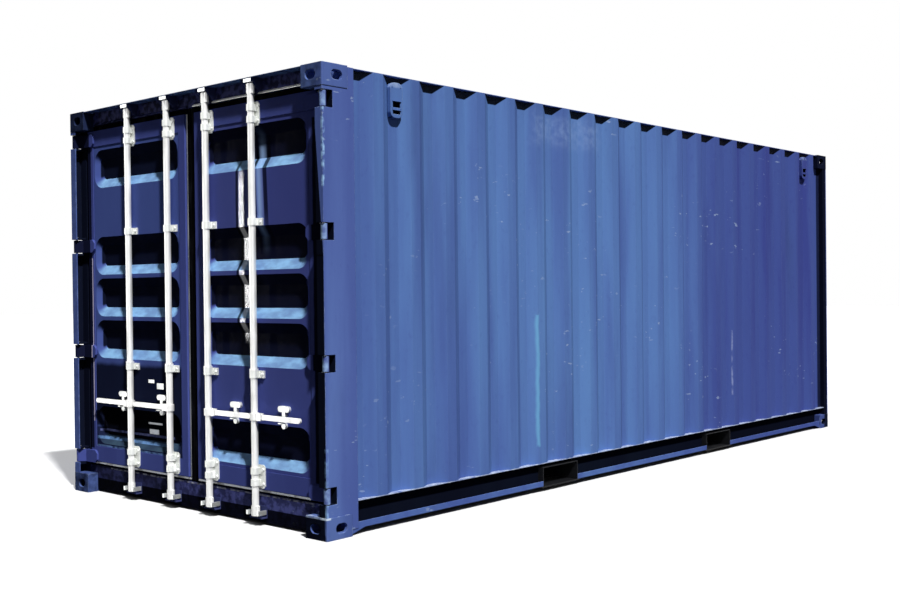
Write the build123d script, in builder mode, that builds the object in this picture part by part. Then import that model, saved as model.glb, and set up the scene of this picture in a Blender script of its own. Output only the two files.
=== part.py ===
from build123d import *

import os
from math import atan2, cos, degrees, radians, sin

# A steel shipping container of the 20 foot class with corrugated walls and two doors.
# X runs to the right when facing the doors, Y from the door end to the blind end, Z up.
# The origin is the centre of the footprint. All sizes are in millimetres.

os.makedirs("parts", exist_ok=True)

# Envelope over the corner castings
LENGTH = 6058.0
WIDTH = 2438.0
HEIGHT = 2438.0

# Corner castings
CASTING_LENGTH = 178.0
CASTING_WIDTH = 162.0
CASTING_HEIGHT = 118.0
CASTING_OUTER_WALL = 20.0
CASTING_INNER_WALL = 16.0
CASTING_PLATE = 28.0
CASTING_BACK_PLATE = 14.0
CASTING_CORNER_RADIUS = 9.0
APERTURE_LENGTH = 124.0
APERTURE_WIDTH = 63.5
APERTURE_INSET_X = 89.5
APERTURE_INSET_Y = 102.5
FACE_HOLE_LENGTH = 79.0
FACE_HOLE_HEIGHT = 51.0
FACE_HOLE_CLEARANCE = 2.0

# Frame members
FRAME_SETBACK = 3.0
POST_STEEL = 6.0
DOOR_POST_LIP = 56.0
DOOR_POST_DEPTH = 220.0
DOOR_POST_BOX_WIDTH = 67.0
DOOR_POST_BOX_DEPTH = 108.0
DOOR_POST_BOX_SETBACK = 68.0
FRONT_POST_WIDTH = 106.0
FRONT_POST_DEPTH = 71.0
ROOF_SETBACK = 6.0
TOP_RAIL_SIZE = 60.0
TOP_RAIL_STEEL = 3.0
TOP_CAP_STEEL = 4.0
BOTTOM_RAIL_STEEL = 4.5
BOTTOM_RAIL_BASE = 35.0
BOTTOM_RAIL_HEIGHT = 146.0
BOTTOM_RAIL_WEB_SETBACK = 49.0
BOTTOM_RAIL_LIP = 33.0
BOTTOM_RAIL_SETBACK = 6.0
GUSSET_LENGTH = 96.0
GUSSET_DROP = 27.0
END_RAIL_STEEL = 4.0
SILL_BASE = 14.0
SILL_HEIGHT = 154.0
SILL_DEPTH = 77.0
HEADER_HEIGHT = 82.0
HEADER_DEPTH = 87.0
DOOR_FRAME_SETBACK = 72.0
FRONT_RAIL_SETBACK = 11.0
FRONT_RAIL_DEPTH = 60.0
FRONT_TOP_RAIL_HEIGHT = 66.0

# Corrugated walls and roof
WALL_SHEET = 2.0
WALL_SETBACK = 8.0
SIDE_PITCH = 282.0
SIDE_SHIFT = 58.0
SIDE_DEPTH = 36.0
SIDE_FLAT = 72.0
SIDE_SLOPE = 68.0
FRONT_PITCH = 250.0
FRONT_DEPTH = 45.0
FRONT_INNER_FLAT = 110.0
FRONT_SLOPE = 18.0
FRONT_WALL_SETBACK = 17.0
ROOF_PITCH = 209.0
HOOD_STEEL = 3.0
HOOD_LAP = 12.0
ROOF_SWAGE_DEPTH = 20.0
ROOF_SWAGE_WIDTH = 130.0
ROOF_SWAGE_INSET = 70.0
ROOF_SWAGE_SLOPE = 45.0
ROOF_END_MARGIN = 120.0

# Base
CROSS_MEMBER_HEIGHT = 119.0
CROSS_MEMBER_FLANGE = 45.0
CROSS_MEMBER_STEEL = 4.0
CROSS_MEMBER_PITCH = 280.0
CROSS_MEMBER_FORK_GAP = 145.0
CROSS_MEMBER_END_GAP = 71.0
FLOOR_THICKNESS = 28.0
FLOOR_EDGE_GAP = 5.0
FLOOR_POST_GAP = 6.0
FORK_SPACING = 2050.0
FORK_WIDTH = 360.0
FORK_HEIGHT = 115.0
FORK_STEEL = 4.0
FORK_STRAP_WIDTH = 200.0
FORK_STRAP_STEEL = 8.0
FORK_STRAP_LAP = 16.0

# Doors
LEAF_CENTRE_GAP = 48.0
LEAF_HINGE_INSET = 114.0
LEAF_FOOT_GAP = 28.0
LEAF_HEAD_GAP = 6.0
LEAF_SETBACK = 60.0
LEAF_THICKNESS = 50.0
LEAF_STILE = 60.0
LEAF_RAIL = 100.0
PANEL_SETBACK = 4.0
PANEL_SHEET = 2.0
PANEL_MARGIN = 12.0
RECESS_DEPTH = 36.0
RECESS_HEIGHT = 240.0
RECESS_SLOPE = 57.0
RECESS_CORNER = 85.0
RECESS_FOOT_INSET = 239.0
RECESS_HEAD_INSET = 247.0
RECESS_PITCH = 265.0
RECESS_DROP = 6.0
GASKET_THICKNESS = 20.0
GASKET_SETBACK = 14.0
GASKET_HINGE_LIP = 32.0
GASKET_CENTRE_LIP = 43.0
GASKET_TOP_LIP = 30.0
GASKET_FOOT_LIP = 22.0
CASTING_CLEARANCE = 7.0

# Hinges
PIN_INSET_X = 23.0
PIN_INSET_Y = 25.0
PIN_RADIUS = 8.0
PIN_FIT = 0.1
RUNNING_GAP = 0.3
PIN_HEAD_RADIUS = 12.0
PIN_HEAD = 5.0
KNUCKLE_RADIUS = 18.0
KNUCKLE_HEIGHT = 80.0
HINGE_SLOT = 90.0
HINGE_SLOT_DEPTH = 73.0
LUG_THICKNESS = 12.0
HINGE_FIRST = 227.0
HINGE_HEAD_ROOM = 65.0
HINGE_COUNT = 4
BLADE_THICKNESS = 12.0
BLADE_REACH = 170.0
BLADE_NECK = 42.0
BLADE_CRANK = 8.0
BLADE_WRAP = 16.0
BLADE_TAIL_CUT = 20.0

# Locking gear
ROD_CENTRE_INSET = 142.0
ROD_RADIUS = 19.0
ROD_STANDOFF = 27.0
CAM_RADIUS = 30.0
CAM_THICKNESS = 26.0
CAM_HEIGHT = 54.0
TOP_CAM_RISE = 2.0
BOTTOM_CAM_BASE = 54.0
COLLAR_RADIUS = 25.0
COLLAR_HEIGHT = 10.0
BRACKET_WIDTH = 118.0
HEAD_BRACKET_WIDTH = 92.0
BRACKET_CORNER = 14.0
BRACKET_HEIGHT = 130.0
BRACKET_INSET = 6.0
GUIDE_HEIGHT = 40.0
GUIDE_FOOT_RISE = 629.0
GUIDE_HEAD_DROP = 659.0
BRACKET_PLATE = 6.0
SADDLE_WALL = 5.0
SADDLE_GAP = 0.5
SADDLE_MARGIN = 15.0
SADDLE_RING = 36.0
KEEPER_WIDTH = 104.0
KEEPER_CHEEK = 12.0
KEEPER_PLATE = 4.0
KEEPER_REACH = 63.0
KEEPER_TOE = 22.0
KEEPER_BAR = 20.0
KEEPER_SHELF = 8.0
KEEPER_END_GAP = 6.0
KEEPER_HEIGHT = 66.0
KEEPER_LUG_RISE = 6.0
KEEPER_LUG_HEIGHT = 24.0
HANDLE_HEIGHT = 595.0
HANDLE_ROD_GAP = 45.0
HANDLE_EDGE_GAP = 130.0
HANDLE_DEPTH = 28.0
HANDLE_THICKNESS = 12.0
HANDLE_PIN_REACH = 45.0
HANDLE_PIN_RADIUS = 7.0
CLEVIS_CHEEK = 6.5
CLEVIS_GAP = 0.5
CLEVIS_END = 17.0
CLEVIS_HEIGHT = 40.0
HUB_RADIUS = 26.0
HASP_REACH_RIGHT = 225.0
HASP_REACH_LEFT = 110.0
HASP_DROP = 37.0
HASP_RISE = 52.0
HASP_WIDTH = 24.0
HASP_HEAD_WIDTH = 92.0
HASP_HEAD_HEIGHT = 32.0
HASP_FOOT_RADIUS = 17.0
HASP_STANDOFF = 12.0
HASP_SHELF = 6.0
HASP_SHELF_REACH = 40.0
HASP_SHELF_GAP = 5.0

# Ventilators
VENT_HEAD_GAP = 30.0
VENT_HEIGHT = 190.0
VENT_WIDTH = 94.0
VENT_CORNER = 34.0
VENT_BASE_WIDTH = 66.0
VENT_BASE_DEPTH = 10.0
VENT_SETBACK = 2.0
VENT_SLOT_WIDTH = 58.0
VENT_SLOT_DEPTH = 18.0
VENT_LOWER_SLOT_RISE = 30.0
VENT_LOWER_SLOT_HEIGHT = 20.0
VENT_UPPER_SLOT_RISE = 72.0
VENT_UPPER_SLOT_HEIGHT = 32.0

# Planes and edges shared by the pieces
half_length = LENGTH / 2
half_width = WIDTH / 2
casting_x = half_width - CASTING_WIDTH
casting_y = half_length - CASTING_LENGTH
top_casting_base = HEIGHT - CASTING_HEIGHT
frame_x = half_width - FRAME_SETBACK
frame_y = half_length - FRAME_SETBACK
roof_top = HEIGHT - ROOF_SETBACK
crest_x = half_width - WALL_SETBACK
valley_x = crest_x - SIDE_DEPTH
valley_inner_x = valley_x - WALL_SHEET
cap_edge_x = frame_x - POST_STEEL
post_box_x = frame_x - POST_STEEL - DOOR_POST_BOX_WIDTH
post_box_y = -frame_y + DOOR_POST_BOX_SETBACK
post_rear_y = -frame_y + DOOR_POST_DEPTH
wall_start_y = post_box_y + DOOR_POST_BOX_DEPTH
front_post_x = frame_x - FRONT_POST_WIDTH
front_post_y = frame_y - FRONT_POST_DEPTH
rail_outer_x = half_width - BOTTOM_RAIL_SETBACK
rail_web_x = half_width - BOTTOM_RAIL_WEB_SETBACK
rail_inner_x = rail_web_x - BOTTOM_RAIL_STEEL
rail_top = BOTTOM_RAIL_BASE + BOTTOM_RAIL_HEIGHT
top_rail_x = valley_inner_x - TOP_RAIL_SIZE
wall_top = roof_top - TOP_CAP_STEEL
cross_member_top = BOTTOM_RAIL_BASE + CROSS_MEMBER_HEIGHT
floor_top = cross_member_top + FLOOR_THICKNESS
door_frame_y = -half_length + DOOR_FRAME_SETBACK
sill_top = SILL_BASE + SILL_HEIGHT
header_top = roof_top
header_base = header_top - HEADER_HEIGHT
front_rail_y = half_length - FRONT_RAIL_SETBACK
front_top_rail_base = roof_top - FRONT_TOP_RAIL_HEIGHT
leaf_foot = sill_top + LEAF_FOOT_GAP
leaf_top = top_casting_base - LEAF_HEAD_GAP
leaf_hinge_edge = half_width - LEAF_HINGE_INSET
leaf_y = -half_length + LEAF_SETBACK
leaf_inner_y = leaf_y + LEAF_THICKNESS
panel_y = leaf_y + PANEL_SETBACK
pin_x = half_width - PIN_INSET_X
pin_y = -half_length + PIN_INSET_Y
rod_y = leaf_y - ROD_STANDOFF
fork_sides = (-FORK_SPACING / 2, FORK_SPACING / 2)
fork_top = BOTTOM_RAIL_BASE + FORK_HEIGHT

# Rows that follow from the room there is for them
side_room = min(SIDE_SHIFT - wall_start_y, front_post_y - SIDE_SHIFT)
side_steps = int((side_room - SIDE_FLAT / 2) // SIDE_PITCH)
side_valleys = [SIDE_SHIFT + SIDE_PITCH * step for step in range(-side_steps, side_steps + 1)]
front_steps = int((front_post_x - FRONT_INNER_FLAT / 2) // FRONT_PITCH)
front_valleys = [FRONT_PITCH * step for step in range(-front_steps, front_steps + 1)]
roof_start_y = door_frame_y + HEADER_DEPTH
roof_end_y = front_rail_y - FRONT_RAIL_DEPTH
swage_room = roof_end_y - roof_start_y - 2 * ROOF_END_MARGIN - ROOF_SWAGE_WIDTH
roof_swages = int(swage_room // ROOF_PITCH) + 1
hinge_pitch = (top_casting_base - HINGE_HEAD_ROOM - HINGE_FIRST) / (HINGE_COUNT - 1)
hinge_heights = [HINGE_FIRST + hinge_pitch * row for row in range(HINGE_COUNT)]
recess_middle = (leaf_foot + leaf_top) / 2 - RECESS_DROP
recess_heights = [recess_middle + RECESS_PITCH * row for row in (-1, 0, 1)]
recess_heights += [leaf_foot + RECESS_FOOT_INSET, leaf_top - RECESS_HEAD_INSET]
inner_member_room = FORK_SPACING / 2 - FORK_WIDTH / 2 - CROSS_MEMBER_FLANGE / 2
inner_members = int(inner_member_room / CROSS_MEMBER_PITCH + 0.5)
first_outer_member = FORK_SPACING / 2 + FORK_WIDTH / 2 + CROSS_MEMBER_FORK_GAP
last_outer_member = casting_y - CROSS_MEMBER_END_GAP
outer_gaps = int((last_outer_member - first_outer_member) // CROSS_MEMBER_PITCH)
outer_pitch = (last_outer_member - first_outer_member) / outer_gaps
member_places = [CROSS_MEMBER_PITCH * (row + 0.5) for row in range(inner_members)]
member_places += [first_outer_member + outer_pitch * row for row in range(outer_gaps + 1)]

# Locking gear: both handles of a leaf are as long as the leaf leaves room for
inner_rod_x = LEAF_CENTRE_GAP + ROD_CENTRE_INSET
handle_length = (leaf_hinge_edge - HANDLE_EDGE_GAP - HANDLE_ROD_GAP - inner_rod_x) / 2
rod_places = (inner_rod_x, inner_rod_x + handle_length + HANDLE_ROD_GAP)
top_cam_base = header_base + TOP_CAM_RISE
bracket_bases = (leaf_foot + BRACKET_INSET, leaf_top - BRACKET_INSET - BRACKET_HEIGHT)
guide_centres = (leaf_foot + GUIDE_FOOT_RISE, leaf_top - GUIDE_HEAD_DROP)
vent_places = (side_valleys[1], side_valleys[-2])
vent_top = wall_top - VENT_HEAD_GAP
vent_foot = vent_top - VENT_HEIGHT


def finish(piece, name):
    """Label a finished piece and write it to its own file."""
    piece.part.label = name
    export_step(piece.part, f"parts/{name}.step")


def finish_pair(piece, name):
    """Write a right-hand piece and its mirror image for the left side."""
    with BuildPart() as twin:
        mirror(piece.part, about=Plane.YZ)
    finish(piece, f"{name}_right")
    finish(twin, f"{name}_left")


def block(low, high, mode=Mode.ADD):
    """A box in the current part between two opposite corners."""
    size = [top - base for base, top in zip(low, high)]
    with Locations(tuple(low)):
        Box(*size, align=(Align.MIN, Align.MIN, Align.MIN), mode=mode)


def cut_castings():
    """Take the four corner castings' room out of the current part, at both heights."""
    for side in (-1, 1):
        for end in (-1, 1):
            for base in (0.0, top_casting_base):
                centre = (side * (casting_x + half_width) / 2, end * (casting_y + half_length) / 2, base)
                with Locations(centre):
                    Box(
                        CASTING_WIDTH,
                        CASTING_LENGTH,
                        CASTING_HEIGHT,
                        align=(Align.CENTER, Align.CENTER, Align.MIN),
                        mode=Mode.SUBTRACT,
                    )


def corner_castings(base, plate_at_top):
    """Four hollow castings at one height, each with a long slot and two side holes."""
    centre_x = half_width - CASTING_WIDTH / 2
    centre_y = -half_length + CASTING_LENGTH / 2
    aperture_x = half_width - APERTURE_INSET_X
    aperture_y = -half_length + APERTURE_INSET_Y
    cavity_low = CASTING_BACK_PLATE if plate_at_top else CASTING_PLATE
    cavity_high = CASTING_HEIGHT - (CASTING_PLATE if plate_at_top else CASTING_BACK_PLATE)
    hole_rise = FACE_HOLE_HEIGHT / 2 + FACE_HOLE_CLEARANCE
    hole_z = base + (cavity_high - hole_rise if plate_at_top else cavity_low + hole_rise)
    with BuildPart() as castings:
        with BuildSketch(Plane.XY.offset(base)):
            with Locations((centre_x, centre_y)):
                Rectangle(CASTING_WIDTH, CASTING_LENGTH)
        extrude(amount=CASTING_HEIGHT)
        outer = castings.edges().filter_by(Axis.Z).sort_by(Axis.X)[-2:].sort_by(Axis.Y)[0]
        fillet(outer, radius=CASTING_CORNER_RADIUS)
        block(
            (casting_x + CASTING_INNER_WALL, -half_length + CASTING_OUTER_WALL, base + cavity_low),
            (half_width - CASTING_OUTER_WALL, -casting_y - CASTING_INNER_WALL, base + cavity_high),
            mode=Mode.SUBTRACT,
        )
        plate_base = base + (cavity_high if plate_at_top else 0.0)
        with BuildSketch(Plane.XY.offset(plate_base)):
            with Locations((aperture_x, aperture_y)):
                SlotOverall(APERTURE_LENGTH, APERTURE_WIDTH, rotation=90)
        extrude(amount=CASTING_PLATE, mode=Mode.SUBTRACT)
        with BuildSketch(Plane.YZ.offset(half_width)):
            with Locations((aperture_y, hole_z)):
                SlotOverall(FACE_HOLE_LENGTH, FACE_HOLE_HEIGHT)
        extrude(amount=-CASTING_OUTER_WALL, mode=Mode.SUBTRACT)
        with BuildSketch(Plane.XZ.offset(half_length)):
            with Locations((aperture_x, hole_z)):
                SlotOverall(FACE_HOLE_LENGTH, FACE_HOLE_HEIGHT)
        extrude(amount=-CASTING_OUTER_WALL, mode=Mode.SUBTRACT)
        mirror(about=Plane.YZ)
        mirror(about=Plane.XZ)
    return castings


def door_post():
    """The right door post: a bent outer bar with hinge slots and lugs, and a box behind it."""
    with BuildPart() as post:
        # Outer bar: lip across the end, long flange along the side and a closing web
        block(
            (frame_x - DOOR_POST_LIP, -frame_y, CASTING_HEIGHT),
            (frame_x, -frame_y + POST_STEEL, top_casting_base),
        )
        block(
            (frame_x - POST_STEEL, -frame_y, CASTING_HEIGHT),
            (frame_x, post_rear_y, top_casting_base),
        )
        block(
            (frame_x - POST_STEEL, -casting_y, BOTTOM_RAIL_BASE),
            (frame_x, post_rear_y, roof_top),
        )
        block(
            (valley_x, post_rear_y - POST_STEEL, BOTTOM_RAIL_BASE),
            (frame_x, post_rear_y, wall_top),
        )
        # Inner box that the gasket closes beside
        block(
            (post_box_x, post_box_y, CASTING_HEIGHT),
            (frame_x - POST_STEEL, wall_start_y, top_casting_base),
        )
        block(
            (post_box_x + POST_STEEL, post_box_y + POST_STEEL, CASTING_HEIGHT),
            (frame_x - POST_STEEL, wall_start_y - POST_STEEL, top_casting_base),
            mode=Mode.SUBTRACT,
        )
        # Slots that let the hinge knuckles swing, with a lug above and below each
        for height in hinge_heights:
            block(
                (frame_x - DOOR_POST_LIP, -frame_y, height - HINGE_SLOT / 2),
                (frame_x, -frame_y + HINGE_SLOT_DEPTH, height + HINGE_SLOT / 2),
                mode=Mode.SUBTRACT,
            )
            for lug_base in (height - HINGE_SLOT / 2 - LUG_THICKNESS, height + HINGE_SLOT / 2):
                block(
                    (frame_x - DOOR_POST_LIP, -frame_y + POST_STEEL, lug_base),
                    (frame_x - POST_STEEL, post_box_y, lug_base + LUG_THICKNESS),
                )
                with Locations((pin_x, pin_y, lug_base)):
                    Cylinder(
                        PIN_RADIUS + PIN_FIT,
                        LUG_THICKNESS,
                        align=(Align.CENTER, Align.CENTER, Align.MIN),
                        mode=Mode.SUBTRACT,
                    )
    return post


def front_post():
    """The right post of the blind end: a closed box between two castings."""
    with BuildPart() as post:
        block((front_post_x, front_post_y, CASTING_HEIGHT), (frame_x, frame_y, top_casting_base))
        block(
            (front_post_x + POST_STEEL, front_post_y + POST_STEEL, CASTING_HEIGHT),
            (frame_x - POST_STEEL, frame_y - POST_STEEL, top_casting_base),
            mode=Mode.SUBTRACT,
        )
    return post


def end_channel(y_outer, depth, base, top, half_span):
    """A channel across one end whose web is the outer face and whose flanges point inwards."""
    inward = 1 if y_outer < 0 else -1
    y_inner = y_outer + inward * depth
    y_web = y_outer + inward * END_RAIL_STEEL
    with BuildPart() as channel:
        block((-half_span, min(y_outer, y_inner), base), (half_span, max(y_outer, y_inner), top))
        block(
            (-half_span, min(y_web, y_inner), base + END_RAIL_STEEL),
            (half_span, max(y_web, y_inner), top - END_RAIL_STEEL),
            mode=Mode.SUBTRACT,
        )
        cut_castings()
    return channel


def front_top_rail():
    """The tube across the top of the blind end."""
    inner_y = front_rail_y - FRONT_RAIL_DEPTH
    with BuildPart() as rail:
        block((-casting_x, inner_y, front_top_rail_base), (casting_x, front_rail_y, roof_top))
        block(
            (-casting_x, inner_y + END_RAIL_STEEL, front_top_rail_base + END_RAIL_STEEL),
            (casting_x, front_rail_y - END_RAIL_STEEL, roof_top - END_RAIL_STEEL),
            mode=Mode.SUBTRACT,
        )
    return rail


def top_rail():
    """The right top rail: a square tube with a thin cap out over the corrugations."""
    with BuildPart() as rail:
        block((top_rail_x, -casting_y, roof_top - TOP_RAIL_SIZE), (valley_inner_x, casting_y, roof_top))
        block(
            (top_rail_x + TOP_RAIL_STEEL, -casting_y, roof_top - TOP_RAIL_SIZE + TOP_RAIL_STEEL),
            (valley_inner_x - TOP_RAIL_STEEL, casting_y, roof_top - TOP_RAIL_STEEL),
            mode=Mode.SUBTRACT,
        )
        block((valley_inner_x, -casting_y, wall_top), (cap_edge_x, casting_y, roof_top))
    return rail


def bottom_rail():
    """The right bottom rail: a lipped channel open to the side, cut at the fork pockets."""
    lip_inner_x = rail_outer_x - BOTTOM_RAIL_STEEL
    base_top = BOTTOM_RAIL_BASE + BOTTOM_RAIL_STEEL
    with BuildPart() as rail:
        with BuildSketch(Plane.XZ.offset(-post_rear_y)):
            with BuildLine():
                Polyline(
                    (rail_inner_x, BOTTOM_RAIL_BASE),
                    (rail_outer_x, BOTTOM_RAIL_BASE),
                    (rail_outer_x, BOTTOM_RAIL_BASE + BOTTOM_RAIL_LIP),
                    (lip_inner_x, BOTTOM_RAIL_BASE + BOTTOM_RAIL_LIP),
                    (lip_inner_x, base_top),
                    (rail_web_x, base_top),
                    (rail_web_x, rail_top - BOTTOM_RAIL_STEEL),
                    (rail_outer_x, rail_top - BOTTOM_RAIL_STEEL),
                    (rail_outer_x, rail_top),
                    (rail_inner_x, rail_top),
                    close=True,
                )
            make_face()
        extrude(amount=-(front_post_y - post_rear_y))
        cut_castings()
        for side in fork_sides:
            block(
                (rail_inner_x, side - FORK_WIDTH / 2 - FORK_STEEL, BOTTOM_RAIL_BASE),
                (rail_outer_x, side + FORK_WIDTH / 2 + FORK_STEEL, fork_top + FORK_STEEL),
                mode=Mode.SUBTRACT,
            )
        # Sloped gussets from the rail down to the castings
        with BuildSketch(Plane.YZ.offset(lip_inner_x)):
            for end in (-1, 1):
                with BuildLine():
                    Polyline(
                        (end * casting_y, BOTTOM_RAIL_BASE),
                        (end * casting_y, BOTTOM_RAIL_BASE - GUSSET_DROP),
                        (end * (casting_y - GUSSET_LENGTH), BOTTOM_RAIL_BASE),
                        close=True,
                    )
                make_face()
        extrude(amount=BOTTOM_RAIL_STEEL)
    return rail


def corrugation(centres, valley_flat, slope, crest, valley, start, end):
    """Points along a corrugated line that starts and ends in its valleys."""
    points = [(start, valley)]
    for low, high in zip(centres[:-1], centres[1:]):
        points.append((low + valley_flat / 2, valley))
        points.append((low + valley_flat / 2 + slope, crest))
        points.append((high - valley_flat / 2 - slope, crest))
        points.append((high - valley_flat / 2, valley))
    points.append((end, valley))
    return points


def side_wall():
    """The right side wall: one corrugated sheet from the bottom rail to the top cap."""
    line = corrugation(side_valleys, SIDE_FLAT, SIDE_SLOPE, crest_x, valley_x, wall_start_y, front_post_y)
    outer = [(x, y) for y, x in line]
    inner = [(x - WALL_SHEET, y) for x, y in reversed(outer)]
    with BuildPart() as wall:
        with BuildSketch(Plane.XY.offset(rail_top)):
            with BuildLine():
                Polyline(*outer, *inner, close=True)
            make_face()
        extrude(amount=wall_top - rail_top)
        cut_castings()
    return wall


def front_wall():
    """The blind end wall: one corrugated sheet between the front posts."""
    crest_y = half_length - FRONT_WALL_SETBACK
    valley_y = crest_y - FRONT_DEPTH
    shape = (FRONT_INNER_FLAT, FRONT_SLOPE, crest_y, valley_y)
    outer = corrugation(front_valleys, *shape, -front_post_x, front_post_x)
    inner = [(x, y - WALL_SHEET) for x, y in reversed(outer)]
    with BuildPart() as wall:
        with BuildSketch(Plane.XY.offset(rail_top)):
            with BuildLine():
                Polyline(*outer, *inner, close=True)
            make_face()
        extrude(amount=front_top_rail_base - rail_top)
        cut_castings()
    return wall


def roof_panel():
    """The roof sheet with swages pressed down into it, and a hood that covers the locking gear's heads."""
    half_span = top_rail_x
    middle_y = (roof_start_y + roof_end_y) / 2
    swage_length = 2 * (half_span - ROOF_SWAGE_INSET)
    outer_widening = 2 * WALL_SHEET / cos(radians(ROOF_SWAGE_SLOPE))
    with BuildPart() as roof:
        block((-half_span, roof_start_y, roof_top - WALL_SHEET), (half_span, roof_end_y, roof_top))
        block((-casting_x, -frame_y, roof_top), (casting_x, roof_start_y + HOOD_LAP, roof_top + HOOD_STEEL))
        with BuildSketch(Plane.XY.offset(roof_top)):
            with Locations((0, middle_y)):
                with GridLocations(ROOF_PITCH, ROOF_PITCH, 1, roof_swages):
                    Rectangle(swage_length + outer_widening, ROOF_SWAGE_WIDTH + outer_widening)
        extrude(amount=-(ROOF_SWAGE_DEPTH + WALL_SHEET), taper=ROOF_SWAGE_SLOPE)
        with BuildSketch(Plane.XY.offset(roof_top)):
            with Locations((0, middle_y)):
                with GridLocations(ROOF_PITCH, ROOF_PITCH, 1, roof_swages):
                    Rectangle(swage_length, ROOF_SWAGE_WIDTH)
        extrude(amount=-ROOF_SWAGE_DEPTH, taper=ROOF_SWAGE_SLOPE, mode=Mode.SUBTRACT)
        cut_castings()
    return roof


def floor_boards():
    """The timber deck on the cross members, narrower between the door posts."""
    edge_x = rail_inner_x - FLOOR_EDGE_GAP
    start_y = door_frame_y + SILL_DEPTH
    end_y = front_post_y - FLOOR_POST_GAP
    corner_x = post_box_x - FLOOR_POST_GAP
    with BuildPart() as deck:
        block((-edge_x, wall_start_y, cross_member_top), (edge_x, end_y, floor_top))
        block((-corner_x, start_y, cross_member_top), (corner_x, wall_start_y, floor_top))
    return deck


def cross_members():
    """Channels across the base that carry the floor."""
    middle = BOTTOM_RAIL_BASE + CROSS_MEMBER_HEIGHT / 2
    inner_height = CROSS_MEMBER_HEIGHT - 2 * CROSS_MEMBER_STEEL
    with BuildPart() as members:
        with BuildSketch(Plane.YZ.offset(-rail_inner_x)):
            for place in member_places:
                for side in (-1, 1):
                    with Locations((side * place, middle)):
                        Rectangle(CROSS_MEMBER_FLANGE, CROSS_MEMBER_HEIGHT)
                    with Locations((side * place + CROSS_MEMBER_STEEL, middle)):
                        Rectangle(CROSS_MEMBER_FLANGE, inner_height, mode=Mode.SUBTRACT)
        extrude(amount=2 * rail_inner_x)
    return members


def fork_pocket_sides():
    """Upright plates on both sides of the two tunnels for a lift truck's forks."""
    with BuildPart() as sides:
        with BuildSketch(Plane.YZ.offset(-rail_outer_x)):
            for tunnel in fork_sides:
                for side in (-1, 1):
                    with Locations((tunnel + side * (FORK_WIDTH + FORK_STEEL) / 2, BOTTOM_RAIL_BASE)):
                        Rectangle(FORK_STEEL, FORK_HEIGHT, align=(Align.CENTER, Align.MIN))
        extrude(amount=2 * rail_outer_x)
    return sides


def fork_pocket_plates():
    """The tunnels' roof plates, and the straps that close each end from below."""
    strap_x = rail_outer_x - FORK_STRAP_WIDTH / 2
    strap_length = FORK_WIDTH + 2 * (FORK_STEEL + FORK_STRAP_LAP)
    with BuildPart() as plates:
        for tunnel in fork_sides:
            with Locations((0, tunnel, fork_top)):
                Box(
                    2 * rail_outer_x,
                    FORK_WIDTH + 2 * FORK_STEEL,
                    FORK_STEEL,
                    align=(Align.CENTER, Align.CENTER, Align.MIN),
                )
            with Locations((-strap_x, tunnel, BOTTOM_RAIL_BASE), (strap_x, tunnel, BOTTOM_RAIL_BASE)):
                Box(
                    FORK_STRAP_WIDTH,
                    strap_length,
                    FORK_STRAP_STEEL,
                    align=(Align.CENTER, Align.CENTER, Align.MAX),
                )
    return plates


def cam_keepers():
    """Brackets on the header and the sill that the rod ends turn into."""
    bar_base = top_cam_base + CAM_HEIGHT + KEEPER_END_GAP
    bar_top = bar_base + KEEPER_BAR
    cheek_foot = bar_top - KEEPER_HEIGHT
    shelf_base = BOTTOM_CAM_BASE - KEEPER_END_GAP - KEEPER_SHELF
    lug_base = BOTTOM_CAM_BASE + KEEPER_LUG_RISE
    plate_front = door_frame_y - KEEPER_PLATE
    front = door_frame_y - KEEPER_REACH
    with BuildPart() as keepers:
        for place in rod_places:
            left = place - KEEPER_WIDTH / 2
            right = place + KEEPER_WIDTH / 2
            # Header: a bar over the rod end, on a back plate with two tapered cheeks
            block((left, plate_front, cheek_foot), (right, door_frame_y, bar_top))
            block((left, front, bar_base), (right, door_frame_y, bar_top))
            with BuildSketch(Plane.YZ.offset(left), Plane.YZ.offset(right - KEEPER_CHEEK)):
                with BuildLine():
                    Polyline(
                        (door_frame_y, cheek_foot),
                        (door_frame_y - KEEPER_TOE, cheek_foot),
                        (front, bar_base),
                        (door_frame_y, bar_base),
                        close=True,
                    )
                make_face()
            extrude(amount=KEEPER_CHEEK)
            # Sill: a shelf under the rod end, with a lug on each side of it
            block((left, plate_front, shelf_base), (right, door_frame_y, shelf_base + KEEPER_HEIGHT))
            block((left, front + KEEPER_TOE, shelf_base), (right, door_frame_y, shelf_base + KEEPER_SHELF))
            lug_top = lug_base + KEEPER_LUG_HEIGHT
            for lug_x in (left, right - KEEPER_CHEEK):
                block((lug_x, front, lug_base), (lug_x + KEEPER_CHEEK, door_frame_y, lug_top))
        mirror(about=Plane.YZ)
    return keepers


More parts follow.
